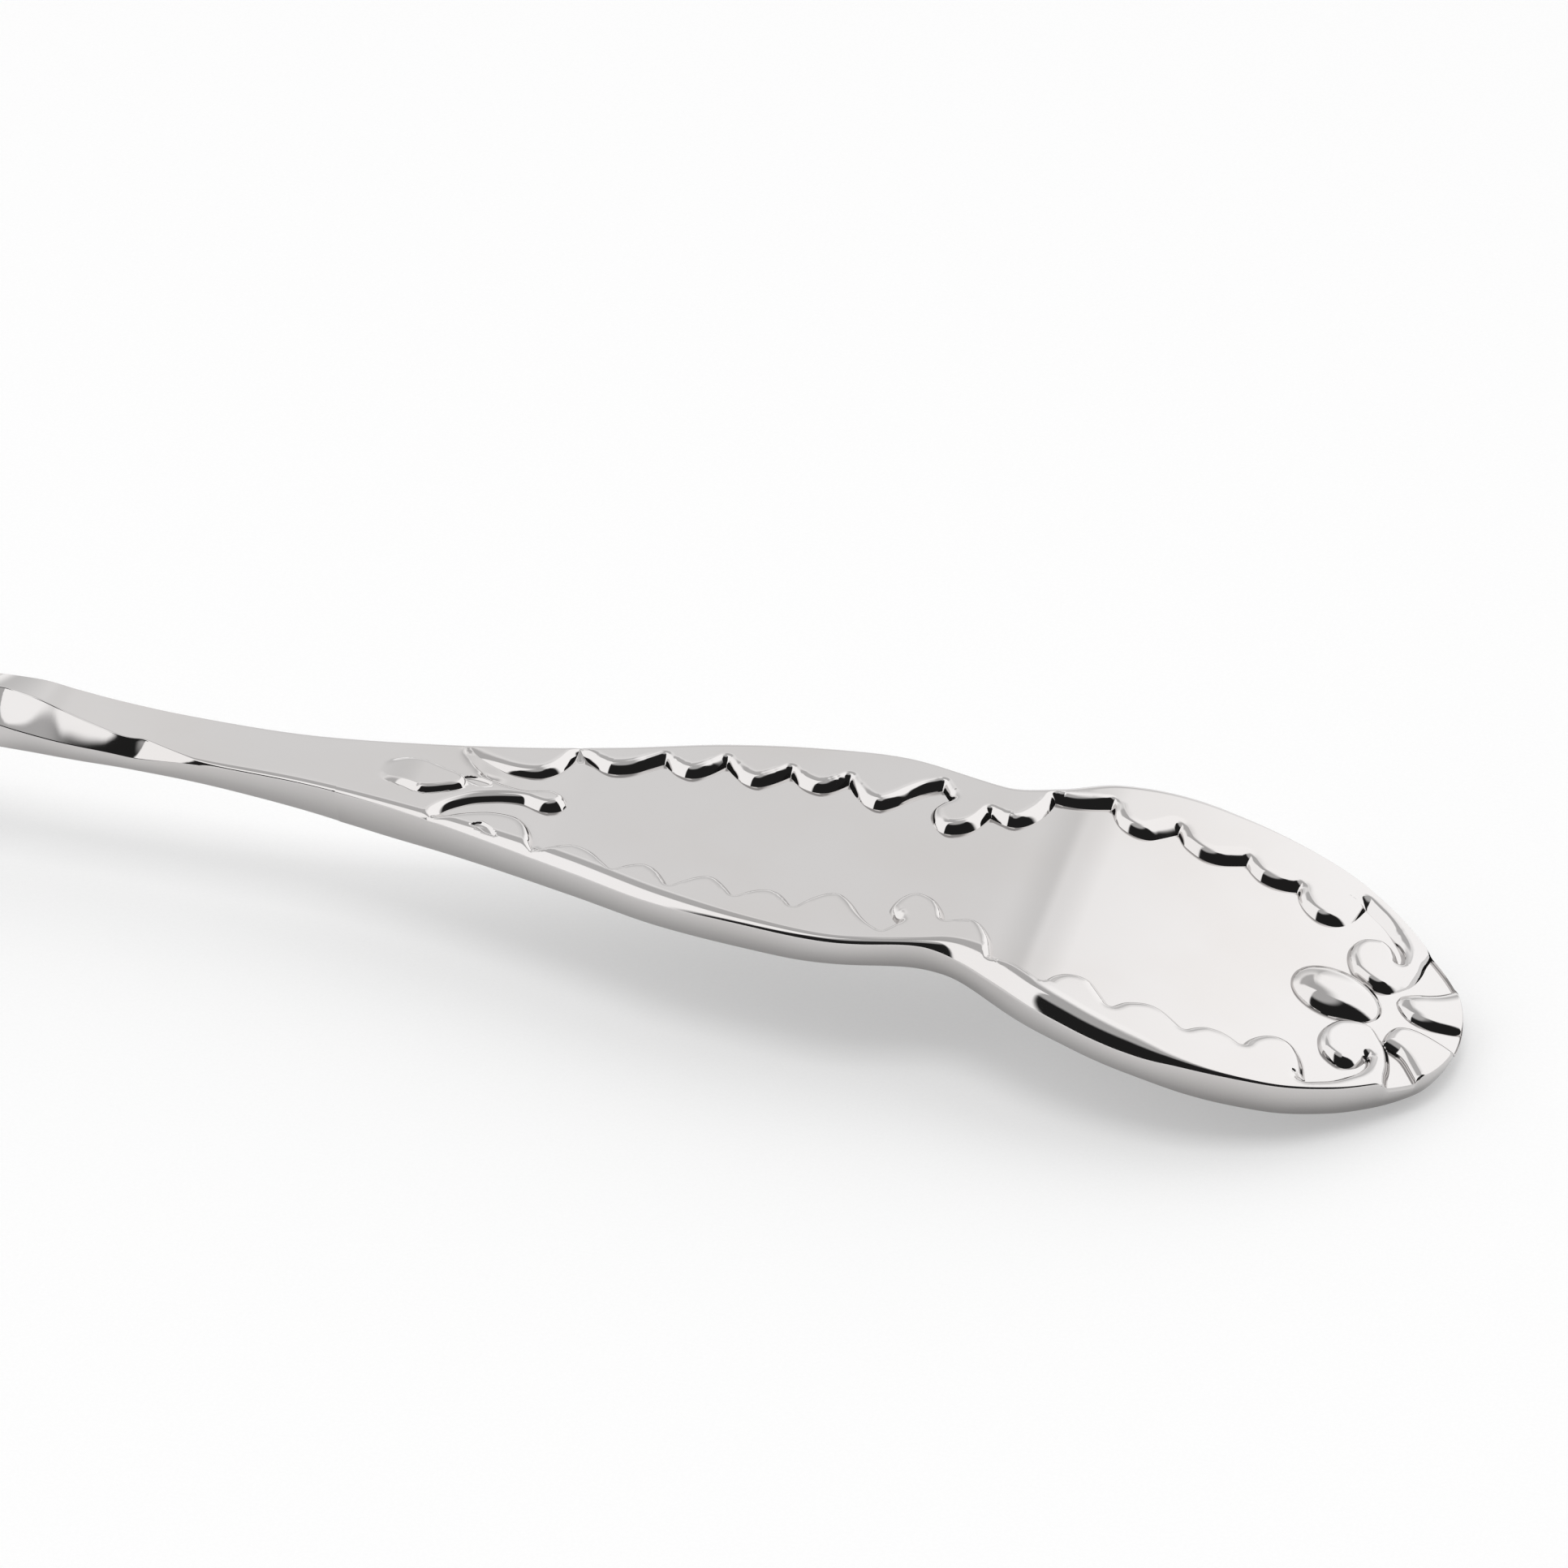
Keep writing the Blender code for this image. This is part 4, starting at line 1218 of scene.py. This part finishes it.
def polished(name, colour, worn, smooth, rough, line_depth, grain):
    """Polished metal: a faint lengthwise polish, soft haze, a slight change of tone, and painted shade on
    faces that point down.
    """
    material = bpy.data.materials.new(name)
    n = Nodes(material)
    place = n.make("ShaderNodeTexCoord", "Object")
    haze = n.noise(place, *HAZE_NOISE)
    lines = n.noise(place, *LINE_NOISE, grain)
    upward = n.make("ShaderNodeSeparateXYZ", "Z", {"Vector": n.make("ShaderNodeTexCoord", "Normal")})
    tone = n.mix(n.ramp(haze, *HAZE_WEAR), (*colour, 1.0), (*worn, 1.0))
    # Painted shade: faces that point down get a darker copy of the worn tone
    painted_shade_tone = [c * UNDER_SHADE for c in worn]
    tone = n.mix(n.ramp(upward, *UNDER_FACING), (*painted_shade_tone, 1.0), tone)
    amount = n.math("ADD", n.math("MULTIPLY", haze, HAZE_SHARE), n.math("MULTIPLY", lines, 1 - HAZE_SHARE))
    roughness = n.ramp(amount, *ROUGH_FROM, smooth, rough)
    bump = n.make("ShaderNodeBump", "Normal", {"Strength": 1.0, "Distance": line_depth * MM, "Height": lines})
    inputs = {"Metallic": 1.0, "Base Color": tone, "Roughness": roughness, "Normal": bump}
    n.make("ShaderNodeOutputMaterial", None, {"Surface": n.make("ShaderNodeBsdfPrincipled", "BSDF", inputs)})
    return material


def studio_world():
    """A white tent: grey at the back left, open and dark round the camera, softer overhead."""
    world = bpy.data.worlds.new("studio")
    bpy.context.scene.world = world
    n = Nodes(world)
    direction = n.make("ShaderNodeTexCoord", "Generated")
    x, y, z = [n.make("ShaderNodeSeparateXYZ", axis, {"Vector": direction}) for axis in "XYZ"]

    def degrees(*angle):
        return n.math("MULTIPLY", n.math(*angle), 180 / math.pi)

    elevation = degrees("ARCSINE", z)
    from_back = degrees("ARCTAN2", x, y)
    from_front = degrees("ARCTAN2", x, n.math("MULTIPLY", y, -1.0))
    level = n.ramp(elevation, *PAPER_HEIGHT, *PAPER_LEVELS)
    level = n.math("MULTIPLY", level, n.ramp(from_back, *PAPER_EDGE_SHADE))
    level = n.towards(level, LOW_LEVEL, n.ramp(elevation, *LOW_HEIGHT, 1.0, 0.0))
    right = n.math("ADD", n.ramp(from_back, *RIGHT_EDGE), n.ramp(from_back, *RIGHT_FADE))
    level = n.towards(level, RIGHT_LEVEL, right)
    level = n.towards(level, LEFT_LEVEL, n.ramp(from_back, *LEFT_EDGE, 1.0, 0.0))
    corner = n.math("MULTIPLY", n.between(from_front, CORNER_SIDES), n.ramp(elevation, *CORNER_HEIGHT))
    level = n.towards(level, CORNER_LEVEL, corner)
    elsewhere = n.math("ADD", n.ramp(from_front, *BESIDE[:2], 1.0, 0.0), n.ramp(from_front, *BESIDE[2:]))
    overhead = n.math("MULTIPLY", n.ramp(elevation, *OVERHEAD), elsewhere)
    level = n.towards(level, OVERHEAD_LEVEL, overhead)
    front = n.ramp(elevation, *FRONT_TOP, FRONT_LEVEL, OVERHEAD_LEVEL)
    level = n.towards(level, front, n.between(from_front, FRONT_SIDES))
    grey = n.make("ShaderNodeCombineColor", "Color", {0: level, 1: level, 2: level})
    background = n.make("ShaderNodeBackground", "Background", {"Color": grey, "Strength": 1.0})
    n.make("ShaderNodeOutputWorld", None, {"Surface": background})


def make_floor():
    """A wide pale table. What the eye, gloss and glass see of it is lifted to white; its shadow stays."""
    mesh = bpy.data.meshes.new("table")
    corners = [(-1, -1), (1, -1), (1, 1), (-1, 1)]
    mesh.from_pydata([(a * FLOOR_SIZE, b * FLOOR_SIZE, 0) for a, b in corners], [], [(0, 1, 2, 3)])
    floor = add_object("table", mesh)
    floor.location.z = -FLOOR_DROP
    material = bpy.data.materials.new("paper")
    n = Nodes(material)
    tooth = n.noise(n.make("ShaderNodeTexCoord", "Object"), *TOOTH_NOISE)
    tone = n.mix(n.ramp(tooth, *TOOTH_RANGE), (*FLOOR_COLOUR, 1.0), (*FLOOR_TOOTH, 1.0))
    diffuse = n.make("ShaderNodeBsdfDiffuse", "BSDF", {"Color": tone})
    seen = 0.0
    for ray in ("Is Camera Ray", "Is Glossy Ray", "Is Transmission Ray"):
        seen = n.math("ADD", seen, n.make("ShaderNodeLightPath", ray), clamp=True)
    glow = n.make("ShaderNodeEmission", "Emission", {"Strength": n.math("MULTIPLY", seen, FLOOR_LIFT)})
    both = n.make("ShaderNodeAddShader", "Shader", {0: diffuse, 1: glow})
    n.make("ShaderNodeOutputMaterial", None, {"Surface": both})
    mesh.materials.append(material)


def make_lamp():
    """A soft square lamp overhead, which the eye and gloss don't see."""
    lamp = bpy.data.lights.new("overhead_fill", "AREA")
    lamp.shape = "RECTANGLE"
    lamp.size = LAMP_SIZE
    lamp.size_y = LAMP_SIZE
    lamp.energy = LAMP_POWER
    obj = add_object("overhead_fill", lamp)
    obj.location = LAMP_PLACE
    obj.rotation_euler = (Vector(LAMP_PLACE) - Vector(LAMP_AIM)).to_track_quat("Z", "Y").to_euler()
    obj.visible_camera = False
    obj.visible_glossy = False


def make_camera():
    camera = bpy.data.cameras.new("camera")
    camera.lens = LENS
    camera.sensor_width = SENSOR
    camera.sensor_fit = "HORIZONTAL"
    obj = add_object("camera", camera)
    swing = math.radians(CAMERA_SWING)
    height = math.radians(CAMERA_HEIGHT)
    right = Vector((math.cos(swing), math.sin(swing), 0))
    level = Vector((-math.sin(swing), math.cos(swing), 0))
    forward = level * math.cos(height) - Vector((0, 0, math.sin(height)))
    up = right.cross(forward)
    matrix = Matrix((right, up, -forward)).transposed().to_4x4()
    matrix.translation = Vector(CAMERA_TARGET) - forward * CAMERA_DISTANCE
    obj.matrix_world = matrix
    bpy.context.scene.camera = obj


def dress(obj, material, node):
    obj.data.materials.clear()
    obj.data.materials.append(material)
    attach(obj, "root")
    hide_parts(node)


make_camera()
make_floor()
studio_world()
make_lamp()
bpy.context.scene.view_settings.view_transform = "Standard"

silver = polished("silver_polish", *SILVER)
bar_silver = polished("silver_bar", *BAR_SILVER)
bowl_silver = polished("silver_bowl", *BOWL_SILVER)
filler = polished("filler", *FILLER)

dress(build_handle(), silver, "handle")
dress(build_stem(), bar_silver, "stem")
dress(build_bowl(), bowl_silver, "bowl")
handle_filler = build_shim("handle_filler", STEM_END_X, stem_angle(STEM_END_X))
dress(handle_filler, filler, "handle_braze_shim")
bowl_filler = build_shim("bowl_filler", BOWL_FACE_X, stem_angle(STEM_START_X))
dress(bowl_filler, filler, "bowl_braze_shim")
